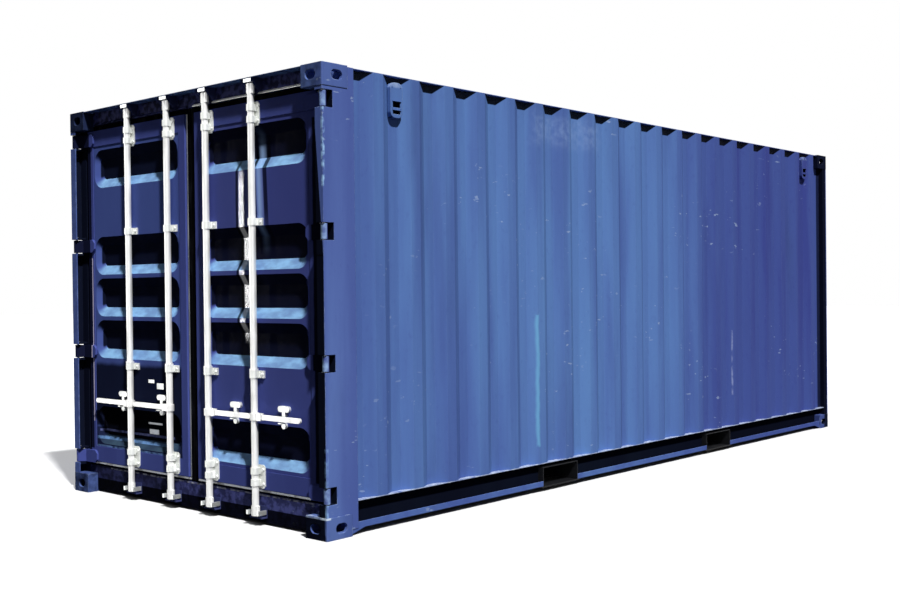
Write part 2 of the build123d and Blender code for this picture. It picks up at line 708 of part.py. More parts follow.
def ventilators():
    """Small covered air vents in a valley near each end of both side walls."""
    face_x = crest_x - VENT_SETBACK
    shoulder_x = valley_x + VENT_BASE_DEPTH
    with BuildPart() as vent:
        with BuildSketch(Plane.XY.offset(vent_foot)):
            with BuildLine():
                Polyline(
                    (valley_x, -VENT_BASE_WIDTH / 2),
                    (shoulder_x, -VENT_WIDTH / 2),
                    (face_x, -VENT_WIDTH / 2),
                    (face_x, VENT_WIDTH / 2),
                    (shoulder_x, VENT_WIDTH / 2),
                    (valley_x, VENT_BASE_WIDTH / 2),
                    close=True,
                )
            make_face()
        extrude(amount=vent_top - vent_foot)
        with BuildSketch(Plane.YZ.offset(valley_x)):
            with Locations((0, (vent_foot + vent_top) / 2)):
                RectangleRounded(VENT_WIDTH, vent_top - vent_foot, VENT_CORNER)
        extrude(amount=face_x - valley_x, mode=Mode.INTERSECT)
        for rise, slot_height in (
            (VENT_LOWER_SLOT_RISE, VENT_LOWER_SLOT_HEIGHT),
            (VENT_UPPER_SLOT_RISE, VENT_UPPER_SLOT_HEIGHT),
        ):
            middle = vent_foot + rise
            block(
                (face_x - VENT_SLOT_DEPTH, -VENT_SLOT_WIDTH / 2, middle - slot_height / 2),
                (face_x, VENT_SLOT_WIDTH / 2, middle + slot_height / 2),
                mode=Mode.SUBTRACT,
            )
    with BuildPart() as vents:
        with Locations(*[(0, place, 0) for place in vent_places]):
            add(vent.part)
        mirror(about=Plane.YZ)
    return vents


def hinge_pins():
    """Headed pins through the post lugs and the door knuckles."""
    shank = HINGE_SLOT + 2 * LUG_THICKNESS
    with BuildPart() as pins:
        for height in hinge_heights:
            with Locations((pin_x, pin_y, height)):
                Cylinder(PIN_RADIUS, shank)
            with Locations((pin_x, pin_y, height + shank / 2)):
                Cylinder(PIN_HEAD_RADIUS, PIN_HEAD, align=(Align.CENTER, Align.CENTER, Align.MIN))
        mirror(about=Plane.YZ)
    return pins


def door_frame():
    """The right leaf's frame: a ring of rectangular tube."""
    with BuildPart() as ring:
        block((LEAF_CENTRE_GAP, leaf_y, leaf_foot), (leaf_hinge_edge, leaf_inner_y, leaf_top))
        block(
            (LEAF_CENTRE_GAP + LEAF_STILE, leaf_y, leaf_foot + LEAF_RAIL),
            (leaf_hinge_edge - LEAF_STILE, leaf_inner_y, leaf_top - LEAF_RAIL),
            mode=Mode.SUBTRACT,
        )
    return ring


def door_panel():
    """The right leaf's sheet with wide horizontal recesses pressed into it."""
    left = LEAF_CENTRE_GAP + LEAF_STILE
    right = leaf_hinge_edge - LEAF_STILE
    centre_x = (left + right) / 2
    recess_width = right - left - 2 * PANEL_MARGIN
    slope_angle = degrees(atan2(RECESS_SLOPE, RECESS_DEPTH))
    sheet_on_slope = PANEL_SHEET / cos(radians(slope_angle))
    with BuildPart() as panel:
        block((left, panel_y, leaf_foot + LEAF_RAIL), (right, panel_y + PANEL_SHEET, leaf_top - LEAF_RAIL))
        for grow, depth, mode in (
            (sheet_on_slope, RECESS_DEPTH + PANEL_SHEET, Mode.ADD),
            (0.0, RECESS_DEPTH, Mode.SUBTRACT),
        ):
            size = (recess_width + 2 * grow, RECESS_HEIGHT + 2 * grow, RECESS_CORNER + grow)
            with BuildSketch(Plane.XZ.offset(-panel_y)):
                for height in recess_heights:
                    with Locations((centre_x, height)):
                        RectangleRounded(*size)
            extrude(amount=-depth, taper=slope_angle, mode=mode)
    return panel


def door_gasket():
    """The right leaf's rubber seal, stepped below the corner casting."""
    back = leaf_y + GASKET_SETBACK
    front = back + GASKET_THICKNESS
    casting_edge = casting_x - CASTING_CLEARANCE
    with BuildPart() as seal:
        block(
            (LEAF_CENTRE_GAP - GASKET_CENTRE_LIP, back, leaf_foot - GASKET_FOOT_LIP),
            (leaf_hinge_edge + GASKET_HINGE_LIP, front, leaf_top),
        )
        block(
            (LEAF_CENTRE_GAP - GASKET_CENTRE_LIP, back, leaf_top),
            (casting_edge, front, leaf_top + GASKET_TOP_LIP),
        )
        block(
            (LEAF_CENTRE_GAP, back, leaf_foot),
            (leaf_hinge_edge, front, leaf_top),
            mode=Mode.SUBTRACT,
        )
    return seal


def door_hinges():
    """The right leaf's hinge blades, each with a knuckle around its pin."""
    blade_back = leaf_y
    blade_front = leaf_y - BLADE_THICKNESS
    tangent_far = KNUCKLE_RADIUS * cos(radians(BLADE_WRAP))
    tangent_near = KNUCKLE_RADIUS * sin(radians(BLADE_WRAP))
    with BuildPart() as hinges:
        for height in hinge_heights:
            with BuildSketch(Plane.XY.offset(height - KNUCKLE_HEIGHT / 2)):
                with BuildLine():
                    Polyline(
                        (pin_x - BLADE_REACH, blade_front),
                        (pin_x - BLADE_NECK, blade_front),
                        (pin_x - tangent_far, pin_y - tangent_near),
                        (pin_x, pin_y),
                        (pin_x + tangent_near, pin_y + tangent_far),
                        (pin_x - BLADE_NECK - BLADE_CRANK, blade_back),
                        (pin_x - BLADE_REACH, blade_back),
                        close=True,
                    )
                make_face()
                with Locations((pin_x, pin_y)):
                    Circle(KNUCKLE_RADIUS)
                    Circle(PIN_RADIUS + RUNNING_GAP, mode=Mode.SUBTRACT)
            extrude(amount=KNUCKLE_HEIGHT)
        tail_edges = hinges.edges().filter_by(Axis.Y).group_by(Axis.X)[0]
        chamfer(tail_edges, length=BLADE_TAIL_CUT)
    return hinges


def saddle_profile(place, seat_y, width):
    """The plan outline of a bearing: a plate on the leaf with a strap around the rod."""
    bore = ROD_RADIUS + SADDLE_GAP
    outer = bore + SADDLE_WALL
    plate_front = leaf_y - BRACKET_PLATE
    with Locations((place, (seat_y + plate_front) / 2)):
        Rectangle(width, seat_y - plate_front)
    with Locations((place, (seat_y + rod_y) / 2)):
        Rectangle(2 * outer, seat_y - rod_y)
    with Locations((place, rod_y)):
        Circle(outer)
        Circle(bore, mode=Mode.SUBTRACT)


def rod_brackets():
    """The right leaf's rod bearings: a tall one near each end and two low guides between."""
    with BuildPart() as brackets:
        for place in rod_places:
            for base, width in zip(bracket_bases, (BRACKET_WIDTH, HEAD_BRACKET_WIDTH)):
                with BuildSketch(Plane.XZ.offset(-leaf_y)) as plate:
                    with Locations((place, base + BRACKET_HEIGHT / 2)):
                        Rectangle(width, BRACKET_HEIGHT)
                    chamfer(plate.vertices(), length=BRACKET_CORNER)
                extrude(amount=BRACKET_PLATE)
                upper_ring = BRACKET_HEIGHT - SADDLE_MARGIN - SADDLE_RING
                for rise in (SADDLE_MARGIN, upper_ring):
                    with BuildSketch(Plane.XY.offset(base + rise)):
                        saddle_profile(place, leaf_y, width)
                    extrude(amount=SADDLE_RING)
            for centre in guide_centres:
                with BuildSketch(Plane.XY.offset(centre - GUIDE_HEIGHT / 2)):
                    saddle_profile(place, panel_y, BRACKET_WIDTH)
                extrude(amount=GUIDE_HEIGHT)
    return brackets


def handle_hasps(reach):
    """Handle rests on the leaf: a plate with a wide head, a round foot and a shelf."""
    shelf_top = HANDLE_HEIGHT - HANDLE_DEPTH / 2 - HASP_SHELF_GAP
    with BuildPart() as hasps:
        for place in rod_places:
            centre = place + reach
            with BuildSketch(Plane.XZ.offset(-panel_y)):
                with Locations((centre, HANDLE_HEIGHT - HASP_DROP)):
                    Rectangle(HASP_WIDTH, HASP_DROP + HASP_RISE, align=(Align.CENTER, Align.MIN))
                with Locations((centre, HANDLE_HEIGHT + HASP_RISE)):
                    SlotOverall(HASP_HEAD_WIDTH, HASP_HEAD_HEIGHT)
                with Locations((centre, HANDLE_HEIGHT - HASP_DROP)):
                    Circle(HASP_FOOT_RADIUS)
            extrude(amount=HASP_STANDOFF + PANEL_SETBACK)
            block(
                (centre - HASP_WIDTH / 2, leaf_y - HASP_SHELF_REACH, shelf_top - HASP_SHELF),
                (centre + HASP_WIDTH / 2, leaf_y, shelf_top),
            )
    return hasps


def lock_rod(place):
    """A lock rod of the right leaf with its two cams, collars and handle clevis."""
    collar_base = guide_centres[0] + GUIDE_HEIGHT / 2 + SADDLE_GAP
    cheek_inner = HANDLE_THICKNESS / 2 + CLEVIS_GAP
    pin_at = place + HANDLE_PIN_REACH
    cheek_end = pin_at + CLEVIS_END
    with BuildPart() as rod:
        with BuildSketch(Plane.XY.offset(BOTTOM_CAM_BASE)):
            with Locations((place, rod_y)):
                Circle(ROD_RADIUS)
        extrude(amount=top_cam_base + CAM_HEIGHT - BOTTOM_CAM_BASE)
        for base in (BOTTOM_CAM_BASE, top_cam_base):
            with BuildSketch(Plane.XY.offset(base)):
                with Locations((place, rod_y)):
                    SlotOverall(2 * CAM_RADIUS, CAM_THICKNESS)
            extrude(amount=CAM_HEIGHT)
        with Locations((place, rod_y, collar_base)):
            Cylinder(COLLAR_RADIUS, COLLAR_HEIGHT, align=(Align.CENTER, Align.CENTER, Align.MIN))
        with Locations((place, rod_y, HANDLE_HEIGHT)):
            Cylinder(HUB_RADIUS, CLEVIS_HEIGHT)
        for side in (-1, 1):
            inner = rod_y + side * cheek_inner
            outer = rod_y + side * (cheek_inner + CLEVIS_CHEEK)
            block(
                (place, min(inner, outer), HANDLE_HEIGHT - CLEVIS_HEIGHT / 2),
                (cheek_end, max(inner, outer), HANDLE_HEIGHT + CLEVIS_HEIGHT / 2),
            )
        with BuildSketch(Plane.XZ.offset(-rod_y + cheek_inner + CLEVIS_CHEEK)):
            with Locations((pin_at, HANDLE_HEIGHT)):
                Circle(HANDLE_PIN_RADIUS)
        extrude(amount=-2 * (cheek_inner + CLEVIS_CHEEK))
    return rod


def handle(place):
    """A flat handle of the right leaf that lifts about its clevis pin."""
    pin_at = place + HANDLE_PIN_REACH
    end_x = place + handle_length
    with BuildPart() as bar:
        with BuildSketch(Plane.XZ.offset(-rod_y - HANDLE_THICKNESS / 2)):
            with Locations(((pin_at + end_x) / 2, HANDLE_HEIGHT)):
                SlotOverall(end_x - pin_at + HANDLE_DEPTH, HANDLE_DEPTH)
            with Locations((pin_at, HANDLE_HEIGHT)):
                Circle(HANDLE_PIN_RADIUS + RUNNING_GAP, mode=Mode.SUBTRACT)
        extrude(amount=HANDLE_THICKNESS)
    return bar


finish(corner_castings(0.0, False), "corner_castings_bottom")
finish(corner_castings(top_casting_base, True), "corner_castings_top")
finish_pair(door_post(), "door_post")
finish_pair(front_post(), "front_post")
finish(end_channel(door_frame_y, SILL_DEPTH, SILL_BASE, sill_top, post_box_x), "door_sill")
finish(end_channel(door_frame_y, HEADER_DEPTH, header_base, header_top, casting_x), "door_header")
finish(end_channel(front_rail_y, FRONT_RAIL_DEPTH, SILL_BASE, rail_top, front_post_x), "front_bottom_rail")
finish(front_top_rail(), "front_top_rail")
finish_pair(top_rail(), "top_rail")
finish_pair(bottom_rail(), "bottom_rail")
finish_pair(side_wall(), "side_wall")
finish(front_wall(), "front_wall")
finish(roof_panel(), "roof_panel")
finish(floor_boards(), "floor_boards")
finish(cross_members(), "cross_members")
finish(fork_pocket_sides(), "fork_pocket_sides")
finish(fork_pocket_plates(), "fork_pocket_plates")
finish(cam_keepers(), "cam_keepers")
finish(ventilators(), "ventilators")
finish(hinge_pins(), "hinge_pins")
finish_pair(door_frame(), "door_frame")
finish_pair(door_panel(), "door_panel")
finish_pair(door_gasket(), "door_gasket")
finish_pair(door_hinges(), "door_hinges")
finish_pair(rod_brackets(), "rod_brackets")
finish(handle_hasps(HASP_REACH_RIGHT), "handle_hasps_right")
with BuildPart() as left_hasps:
    mirror(handle_hasps(HASP_REACH_LEFT).part, about=Plane.YZ)
finish(left_hasps, "handle_hasps_left")
for name, place in zip(("inner", "outer"), rod_places):
    finish_pair(lock_rod(place), f"lock_rod_{name}")
    finish_pair(handle(place), f"handle_{name}")
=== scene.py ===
"""A blue steel shipping container: its finishes, its small fittings, a studio and a camera."""

import logging
import math
import random
from dataclasses import dataclass, field
from enum import Enum
from typing import Any, Iterable

import bmesh
import bpy
from mathutils import Matrix, Vector


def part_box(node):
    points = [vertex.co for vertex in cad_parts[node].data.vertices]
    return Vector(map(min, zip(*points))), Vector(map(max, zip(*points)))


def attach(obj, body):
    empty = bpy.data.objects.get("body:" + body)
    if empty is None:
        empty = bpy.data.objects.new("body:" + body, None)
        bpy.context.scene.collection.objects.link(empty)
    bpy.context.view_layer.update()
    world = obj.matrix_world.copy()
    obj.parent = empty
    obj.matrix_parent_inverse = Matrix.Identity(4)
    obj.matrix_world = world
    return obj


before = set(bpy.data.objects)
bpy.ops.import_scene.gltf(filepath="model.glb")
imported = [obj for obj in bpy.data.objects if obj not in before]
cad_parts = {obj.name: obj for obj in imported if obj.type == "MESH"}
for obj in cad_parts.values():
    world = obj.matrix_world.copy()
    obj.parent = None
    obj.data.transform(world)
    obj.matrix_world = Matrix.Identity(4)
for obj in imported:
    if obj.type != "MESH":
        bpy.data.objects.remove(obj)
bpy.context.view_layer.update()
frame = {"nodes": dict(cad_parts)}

log = logging.getLogger("container")

Colour = tuple[float, float, float, float]
Screen = tuple[int, int, int]
Point = tuple[float, float, float]
Pair = tuple[float, float]
Sockets = dict[str | int, Any]
Mesh = bmesh.types.BMesh
Ring = list[bmesh.types.BMVert]
Material = bpy.types.Material

FORWARD: Point = (0.0, -1.0, 0.0)
STILL: Point = (0.0, 0.0, 0.0)

# How far the inner and the outer lock rod stand from the middle of the doors, in metres.
ROD_PLACES: Pair = (0.190, 0.605)

# Limits that several of the marks share, in metres. OPEN lies outside the container on every side.
OPEN = 9.0
FRONT = -3.04
POST_FACE = -3.0185
POST_EDGE = 1.2125
END_BACK = -2.94
DOOR_BACK = -2.90


class Side(Enum):
    """The two halves of the container, seen when facing its doors."""

    RIGHT = 1
    LEFT = -1

    @property
    def word(self) -> str:
        """The side's name in the frame's nodes and bodies."""
        return self.name.lower()


def seen(red: int, green: int, blue: int) -> Colour:
    """Turn a colour as a screen shows it into the linear values that shaders take.

    Args:
        red: Red from 0 to 255.
        green: Green from 0 to 255.
        blue: Blue from 0 to 255.

    Returns:
        The linear colour with full alpha.
    """
    linear = []
    for value in (red, green, blue):
        share = value / 255
        linear.append(share / 12.92 if share <= 0.04045 else ((share + 0.055) / 1.055) ** 2.4)
    return linear[0], linear[1], linear[2], 1.0


class Wire:
    """A shader socket on which Python's operators add Math nodes."""

    def __init__(self, sheet: "ShaderSheet", socket: bpy.types.NodeSocket) -> None:
        """Wrap one output socket of a material."""
        self.sheet = sheet
        self.socket = socket

    def _math(self, operation: str, *values: "Wire | float", clamp: bool = False) -> "Wire":
        """Add one Math node.

        Args:
            operation: The node's operation.
            values: What goes into its sockets, in order.
            clamp: Whether the result is held between 0 and 1.

        Returns:
            The node's output.
        """
        settings = {"operation": operation, "use_clamp": clamp}
        return self.sheet.node("ShaderNodeMath", settings, dict(enumerate(values)))

    def __add__(self, other: "Wire | float") -> "Wire":
        """Sum of two values."""
        return self._math("ADD", self, other)

    __radd__ = __add__

    def __sub__(self, other: "Wire | float") -> "Wire":
        """Difference of two values."""
        return self._math("SUBTRACT", self, other)

    def __rsub__(self, other: float) -> "Wire":
        """Difference of a number and this value."""
        return self._math("SUBTRACT", other, self)

    def __mul__(self, other: "Wire | float") -> "Wire":
        """Product of two values."""
        return self._math("MULTIPLY", self, other)

    __rmul__ = __mul__

    def size(self) -> "Wire":
        """The value without its sign."""
        return self._math("ABSOLUTE", self)

    def larger(self, other: "Wire | float") -> "Wire":
        """The larger of two values."""
        return self._math("MAXIMUM", self, other)

    def held(self) -> "Wire":
        """The value held between 0 and 1."""
        return self._math("ADD", self, 0.0, clamp=True)

    def rise(self, low: float, high: float) -> "Wire":
        """Rise smoothly from 0 at one value to 1 at another.

        Args:
            low: The value that gives 0.
            high: The value that gives 1; it may be below the first.

        Returns:
            The smooth step.
        """
        if low < high:
            limits = {1: low, 2: high, 3: 0.0, 4: 1.0}
        else:
            limits = {1: high, 2: low, 3: 1.0, 4: 0.0}
        return self.sheet.node("ShaderNodeMapRange", {"interpolation_type": "SMOOTHSTEP"}, {0: self} | limits)


Value = Wire | float


class ShaderSheet:
    """One material's nodes, with one method that adds any of them."""

    def __init__(self, name: str, owner: bpy.types.World | None = None) -> None:
        """Start an empty node tree.

        Args:
            name: The name of the new material.
            owner: A world to build on, in place of a new material.
        """
        self.material = owner or bpy.data.materials.new(name)
        self.material.use_nodes = True
        self.tree = self.material.node_tree
        self.tree.nodes.clear()

    def node(
        self,
        kind: str,
        settings: dict[str, Any] | None = None,
        inputs: Sockets | None = None,
        output: str | int = 0,
    ) -> Wire:
        """Add a node of any type.

        Args:
            kind: The node's type.
            settings: Its properties, set first.
            inputs: Values or wires for its sockets, by name or number.
            output: The socket to hand back.

        Returns:
            The chosen output.
        """
        made = self.tree.nodes.new(kind)
        for key, value in (settings or {}).items():
            setattr(made, key, value)
        for key, value in (inputs or {}).items():
            if isinstance(value, Wire):
                self.tree.links.new(value.socket, made.inputs[key])
            else:
                made.inputs[key].default_value = value
        return Wire(self, made.outputs[output])

    def watched(self) -> Wire:
        """Tell what is looked at from what gives light.

        Returns:
            1 for rays from the camera and for mirror and glass rays, else 0.
        """
        kinds = ("Is Camera Ray", "Is Glossy Ray", "Is Transmission Ray")
        camera, glossy, glass = (self.node("ShaderNodeLightPath", output=name) for name in kinds)
        return (camera + glossy + glass).held()

    def place(self) -> Wire:
        """Metres in the container's own frame."""
        return self.node("ShaderNodeTexCoord", output="Object")

    def axis(self, name: str) -> Wire:
        """One coordinate in metres: X, Y or Z."""
        return self.node("ShaderNodeSeparateXYZ", inputs={0: self.place()}, output=name)

    def scaled(self, factors: Point, shift: Point) -> Wire:
        """The place stretched along its axes.

        Args:
            factors: What each axis is multiplied by.
            shift: What is added afterwards.

        Returns:
            The stretched place.
        """
        inputs = {0: self.place(), 1: factors, 2: shift}
        return self.node("ShaderNodeVectorMath", {"operation": "MULTIPLY_ADD"}, inputs)

    def noise(
        self, scale: float, stretch: Point = (1.0, 1.0, 1.0), detail: float = 3.0, seed: float = 0.0
    ) -> Wire:
        """Cloudy noise from 0 to 1.

        Args:
            scale: Cells per metre.
            stretch: Factors for the three axes; a small one draws the noise out.
            detail: How many finer layers it has.
            seed: A shift that gives other noise.

        Returns:
            The noise.
        """
        where = self.scaled(stretch, (seed, seed, seed))
        return self.node("ShaderNodeTexNoise", inputs={"Vector": where, "Scale": scale, "Detail": detail})

    def blend(self, share: Value, first: Wire | Colour, second: Wire | Colour) -> Wire:
        """Mix two colours.

        Args:
            share: How much of the second one shows.
            first: The colour below.
            second: The colour on top.

        Returns:
            The mixed colour.
        """
        inputs = {0: share, 6: first, 7: second}
        return self.node("ShaderNodeMix", {"data_type": "RGBA"}, inputs, output=2)

    def rounded(self, radius: float) -> Wire:
        """The normal with edges softened to a radius in metres."""
        return self.node("ShaderNodeBevel", {"samples": 4}, {"Radius": radius})

    def edges(self, radius: float) -> Wire:
        """A mask that is 1 on sharp edges and 0 on flat faces.

        Args:
            radius: How far from an edge the mask reaches, in metres.

        Returns:
            The mask.
        """
        flat = self.node("ShaderNodeNewGeometry", output="Normal")
        inputs = {0: self.rounded(radius), 1: flat}
        likeness = self.node("ShaderNodeVectorMath", {"operation": "DOT_PRODUCT"}, inputs, output="Value")
        return ((1.0 - likeness) * 4.0).held()

    def upward(self) -> Wire:
        """How much a face looks up, from -1 to 1."""
        flat = self.node("ShaderNodeNewGeometry", output="Normal")
        return self.node("ShaderNodeSeparateXYZ", inputs={0: flat}, output="Z")

    def outer(self) -> Wire:
        """A mask that is 1 on all faces of a shut door but those that look into the container."""
        own = self.node("ShaderNodeTexCoord", output="Normal")
        return self.node("ShaderNodeSeparateXYZ", inputs={0: own}, output="Y").rise(0.3, 0.1)

    def relief(self, height: Wire, depth: float, normal: Wire | None = None) -> Wire:
        """A bumped normal.

        Args:
            height: The height from 0 to 1.
            depth: The depth in metres that it stands for.
            normal: The normal that it is added to.

        Returns:
            The new normal.
        """
        inputs: Sockets = {"Height": height, "Distance": depth}
        if normal is not None:
            inputs["Normal"] = normal
        return self.node("ShaderNodeBump", inputs=inputs)

    def principled(self, sockets: dict[str, Any]) -> Wire:
        """One Principled shader from its sockets' names, with _ for a space."""
        named = {key.replace("_", " "): value for key, value in sockets.items()}
        return self.node("ShaderNodeBsdfPrincipled", inputs=named)

    def close(self, **sockets: Any) -> Material:
        """Finish the material with one Principled shader.

        Args:
            sockets: Values or wires for the shader's sockets, with _ for a space.

        Returns:
            The material.
        """
        self.end("ShaderNodeOutputMaterial", self.principled(sockets))
        return self.material

    def glazed(self, share: Value, **sockets: Any) -> Material:
        """Finish the material with matte paint under a share of gloss.

        Args:
            share: How much of the gloss shows, from 0 to 1.
            sockets: Values or wires for both shaders' sockets, with _ for a space.

        Returns:
            The material.
        """
        matte = self.principled(sockets | {"Specular_IOR_Level": 0.0})
        gloss = self.principled(sockets | {"Specular_IOR_Level": 0.5})
        mixed = self.node("ShaderNodeMixShader", inputs={0: share, 1: matte, 2: gloss})
        self.end("ShaderNodeOutputMaterial", mixed)
        return self.material

    def end(self, kind: str, shader: Wire) -> None:
        """Lead a shader to the output node of a material or a world."""
        self.tree.links.new(shader.socket, self.tree.nodes.new(kind).inputs["Surface"])


@dataclass(frozen=True)
class StainOrLight:
    """A mark that fills a box in the container's own frame: dirt and wear, or painted highlight and painted
    shade.

    Its colour is as a screen shows it, and soft is half the width of its edges. Wander is how far the edges
    stray along each axis, ragged how torn the mark is, and lean how far X moves for a metre of height.
    """

    low: Point
    high: Point
    colour: Screen
    strength: float
    soft: float
    wander: Point = STILL
    ragged: float = 0.0
    seed: float = 0.0
    lean: float = 0.0

    def mask(self, sheet: ShaderSheet) -> Wire:
        """How much of the mark shows at each place.

        Args:
            sheet: The material's nodes.

        Returns:
            The mask.
        """
        shares: list[Wire] = []
        for name, low, high, wander in zip("XYZ", self.low, self.high, self.wander):
            place = sheet.axis(name)
            if self.lean and name == "X":
                place = place + sheet.axis("Z") * self.lean
            if wander:
                stray = sheet.noise(7.0, detail=4.0, seed=self.seed + ord(name)) - 0.5
                place = place + stray * (4.0 * wander)
            if low > -OPEN:
                shares.append(place.rise(low - self.soft, low + self.soft))
            if high < OPEN:
                shares.append(place.rise(high + self.soft, high - self.soft))
        if self.ragged:
            torn = sheet.noise(24.0, detail=5.0, seed=self.seed)
            shares.append(torn.rise(0.5 - self.ragged, 0.5 + self.ragged))
        return math.prod(shares, start=self.strength)


def stained_and_lit(
    sheet: ShaderSheet, colour: Wire, stains_and_light: Iterable[StainOrLight], share: Value = 1.0
) -> tuple[Wire, Value]:
    """Lay marks over a colour: dirt and wear, painted highlights and painted shade.

    Args:
        sheet: The material's nodes.
        colour: The colour below.
        stains_and_light: The marks, from the lowest to the top one.
        share: How much of them all shows.

    Returns:
        The marked colour, and how much of it is covered.
    """
    cover: Value = 0.0
    for overlay in stains_and_light:
        mask = overlay.mask(sheet) * share
        colour = sheet.blend(mask, colour, seen(*overlay.colour))
        cover = mask.larger(cover)
    return colour, cover


# On the side walls: a pale patch, a scratch, a light run, and painted shade in the corner beside the far
# post.
WALL_STAINS_AND_SHADE = (
    StainOrLight((1.1, -1.26, 2.20), (1.3, -0.52, 2.36), (132, 158, 204), 0.45, 0.05, (0.0, 0.06, 0.03), 0.3),
    StainOrLight((1.1, 1.268, 0.42), (1.3, 1.282, 0.93), (150, 160, 200), 0.6, 0.003, (0.0, 0.004, 0.0), 0.2),
    StainOrLight((1.1, -1.262, 0.30), (1.3, -1.235, 1.15), (120, 190, 226), 0.5, 0.012, (0.0, 0.01, 0.08)),
    # Painted shade: black where the wall meets the far post.
    StainOrLight((-OPEN, 2.905, 0.0), (OPEN, 2.960, 2.42), (14, 15, 24), 0.85, 0.006),
)

# On the roof: a darker ragged band along the front edge of the hood.
ROOF_EDGE_BAND = (StainOrLight((-1.06, FRONT, 2.42), (1.06, DOOR_BACK, 2.44), (52, 58, 98), 0.8, 0.002, STILL, 0.3),)

# On the posts, all painted light: painted shade on the right one's inner half, whose upper part leans, and on
# both inner sides. Then painted highlights on the right one's edge at head and foot, painted shade on the
# left one's face, and painted shade on the post at the blind end.
FRAME_PAINTED_LIGHT = (
    StainOrLight((1.150, FRONT, 0.10), (POST_EDGE, POST_FACE, 1.46), (8, 8, 11), 0.97, 0.002, (0.002, 0.0, 0.0)),
    StainOrLight((1.2, FRONT, 1.452), (1.3280, POST_FACE, 2.12), (8, 8, 11), 0.97, 0.002, lean=0.0793),
    StainOrLight((1.100, POST_FACE, 0.10), (POST_EDGE, DOOR_BACK, 2.33), (8, 8, 11), 0.95, 0.002),
    StainOrLight((-POST_EDGE, POST_FACE, 0.10), (-1.10, DOOR_BACK, 2.33), (8, 8, 11), 0.95, 0.002),
    StainOrLight((1.2045, FRONT, 1.80), (1.3, -3.012, 2.40), (160, 200, 240), 0.9, 0.003, (0.002, 0.004, 0.0), 0.1),
    StainOrLight((1.2045, FRONT, 0.12), (1.3, -3.012, 0.47), (150, 190, 236), 0.8, 0.003, (0.002, 0.004, 0.0), 0.2),
    StainOrLight((-1.2170, FRONT, 0.10), (-1.155, POST_FACE, 2.33), (20, 18, 44), 0.3, 0.002, STILL, 0.3),
    StainOrLight((1.0, 2.885, 0.0), (OPEN, 3.0125, 2.33), (8, 8, 11), 0.95, 0.002),
)

# On the bottom rails: painted shade on the webs, and a painted highlight on the top of the lip.
RAIL_PAINTED_LIGHT = (
    StainOrLight((-1.1725, -OPEN, 0.04), (1.1725, OPEN, 0.1735), (7, 7, 9), 0.97, 0.002),
    StainOrLight((-OPEN, -OPEN, 0.1735), (OPEN, OPEN, 0.190), (220, 230, 242), 0.85, 0.001, STILL, 0.4),
)

# On the castings, all painted light: painted shade on the faces at the doors, on the two at the blind end, on
# the two left of the doors, and on the right bottom one's face, under a painted highlight on its top.
CASTING_PAINTED_LIGHT = (
    StainOrLight((-OPEN, FRONT, 0.0), (OPEN, -3.0275, 2.45), (26, 30, 46), 0.75, 0.002, STILL, 0.35),
    StainOrLight((1.0, 2.84, 2.30), (OPEN, OPEN, 2.45), (10, 11, 16), 0.93, 0.004),
    StainOrLight((1.0, 2.95, 0.0), (OPEN, OPEN, 0.15), (10, 11, 16), 0.9, 0.006, (0.0, 0.01, 0.0)),
    StainOrLight((-OPEN, FRONT, 2.30), (-1.0, -2.84, 2.45), (10, 10, 16), 0.8, 0.01, (0.01, 0.0, 0.02)),
    StainOrLight((-1.23, FRONT, 0.0), (-1.0, -2.84, 0.125), (10, 10, 18), 0.85, 0.01, (0.02, 0.0, 0.02), 0.4, 6.0),
    StainOrLight((0.8, FRONT, 0.0), (1.205, -3.0265, 0.108), (6, 6, 9), 0.95, 0.002, (0.004, 0.0, 0.002)),
    StainOrLight((0.8, FRONT, 0.108), (1.24, -3.0, 0.125), (220, 236, 250), 0.95, 0.002, (0.0, 0.0, 0.001), 0.2),
)

# On header and sill, all painted light: painted shade on the header, then painted shade on the sill's foot,
# its left part and its front, and a painted highlight on its edge.
END_FRAME_PAINTED_LIGHT = (
    StainOrLight((-OPEN, -OPEN, 2.30), (OPEN, END_BACK, 2.44), (12, 12, 20), 0.75, 0.01, (0.0, 0.0, 0.02), 0.1, 5.0),
    StainOrLight((-OPEN, -OPEN, 0.0), (OPEN, END_BACK, 0.088), (6, 6, 8), 0.95, 0.002),
    StainOrLight((-OPEN, -OPEN, 0.0), (-0.15, END_BACK, 0.2), (8, 8, 10), 0.85, 0.05, (0.05, 0.0, 0.0)),
    StainOrLight((-OPEN, -OPEN, 0.0), (OPEN, END_BACK, 0.2), (8, 8, 12), 0.6, 0.004, (0.0, 0.0, 0.01), 0.1, 9.0),
    StainOrLight((-0.9, -OPEN, 0.158), (1.2, END_BACK, 0.1665), (210, 214, 230), 0.6, 0.001, STILL, 0.1, 7.0),
)

# On the door frames: painted shade on the outer uprights, a painted highlight beside the left one, and
# painted highlights on the hinge blades.
LEAF_FRAME_PAINTED_LIGHT = (
    StainOrLight((1.072, -OPEN, 0.28), (1.2, OPEN, 2.17), (8, 8, 10), 0.93, 0.006, (0.004, 0.0, 0.02)),
    StainOrLight((-1.2, -OPEN, 0.28), (-1.071, OPEN, 2.30), (8, 8, 10), 0.9, 0.004),
    StainOrLight((-1.070, -OPEN, 0.46), (-1.061, -2.96, 1.50), (236, 226, 250), 0.85, 0.002, (0.0, 0.0, 0.02)),
    StainOrLight((1.165, -OPEN, 0.0), (OPEN, OPEN, 2.40), (170, 205, 245), 0.8, 0.004, STILL, 0.3),
)

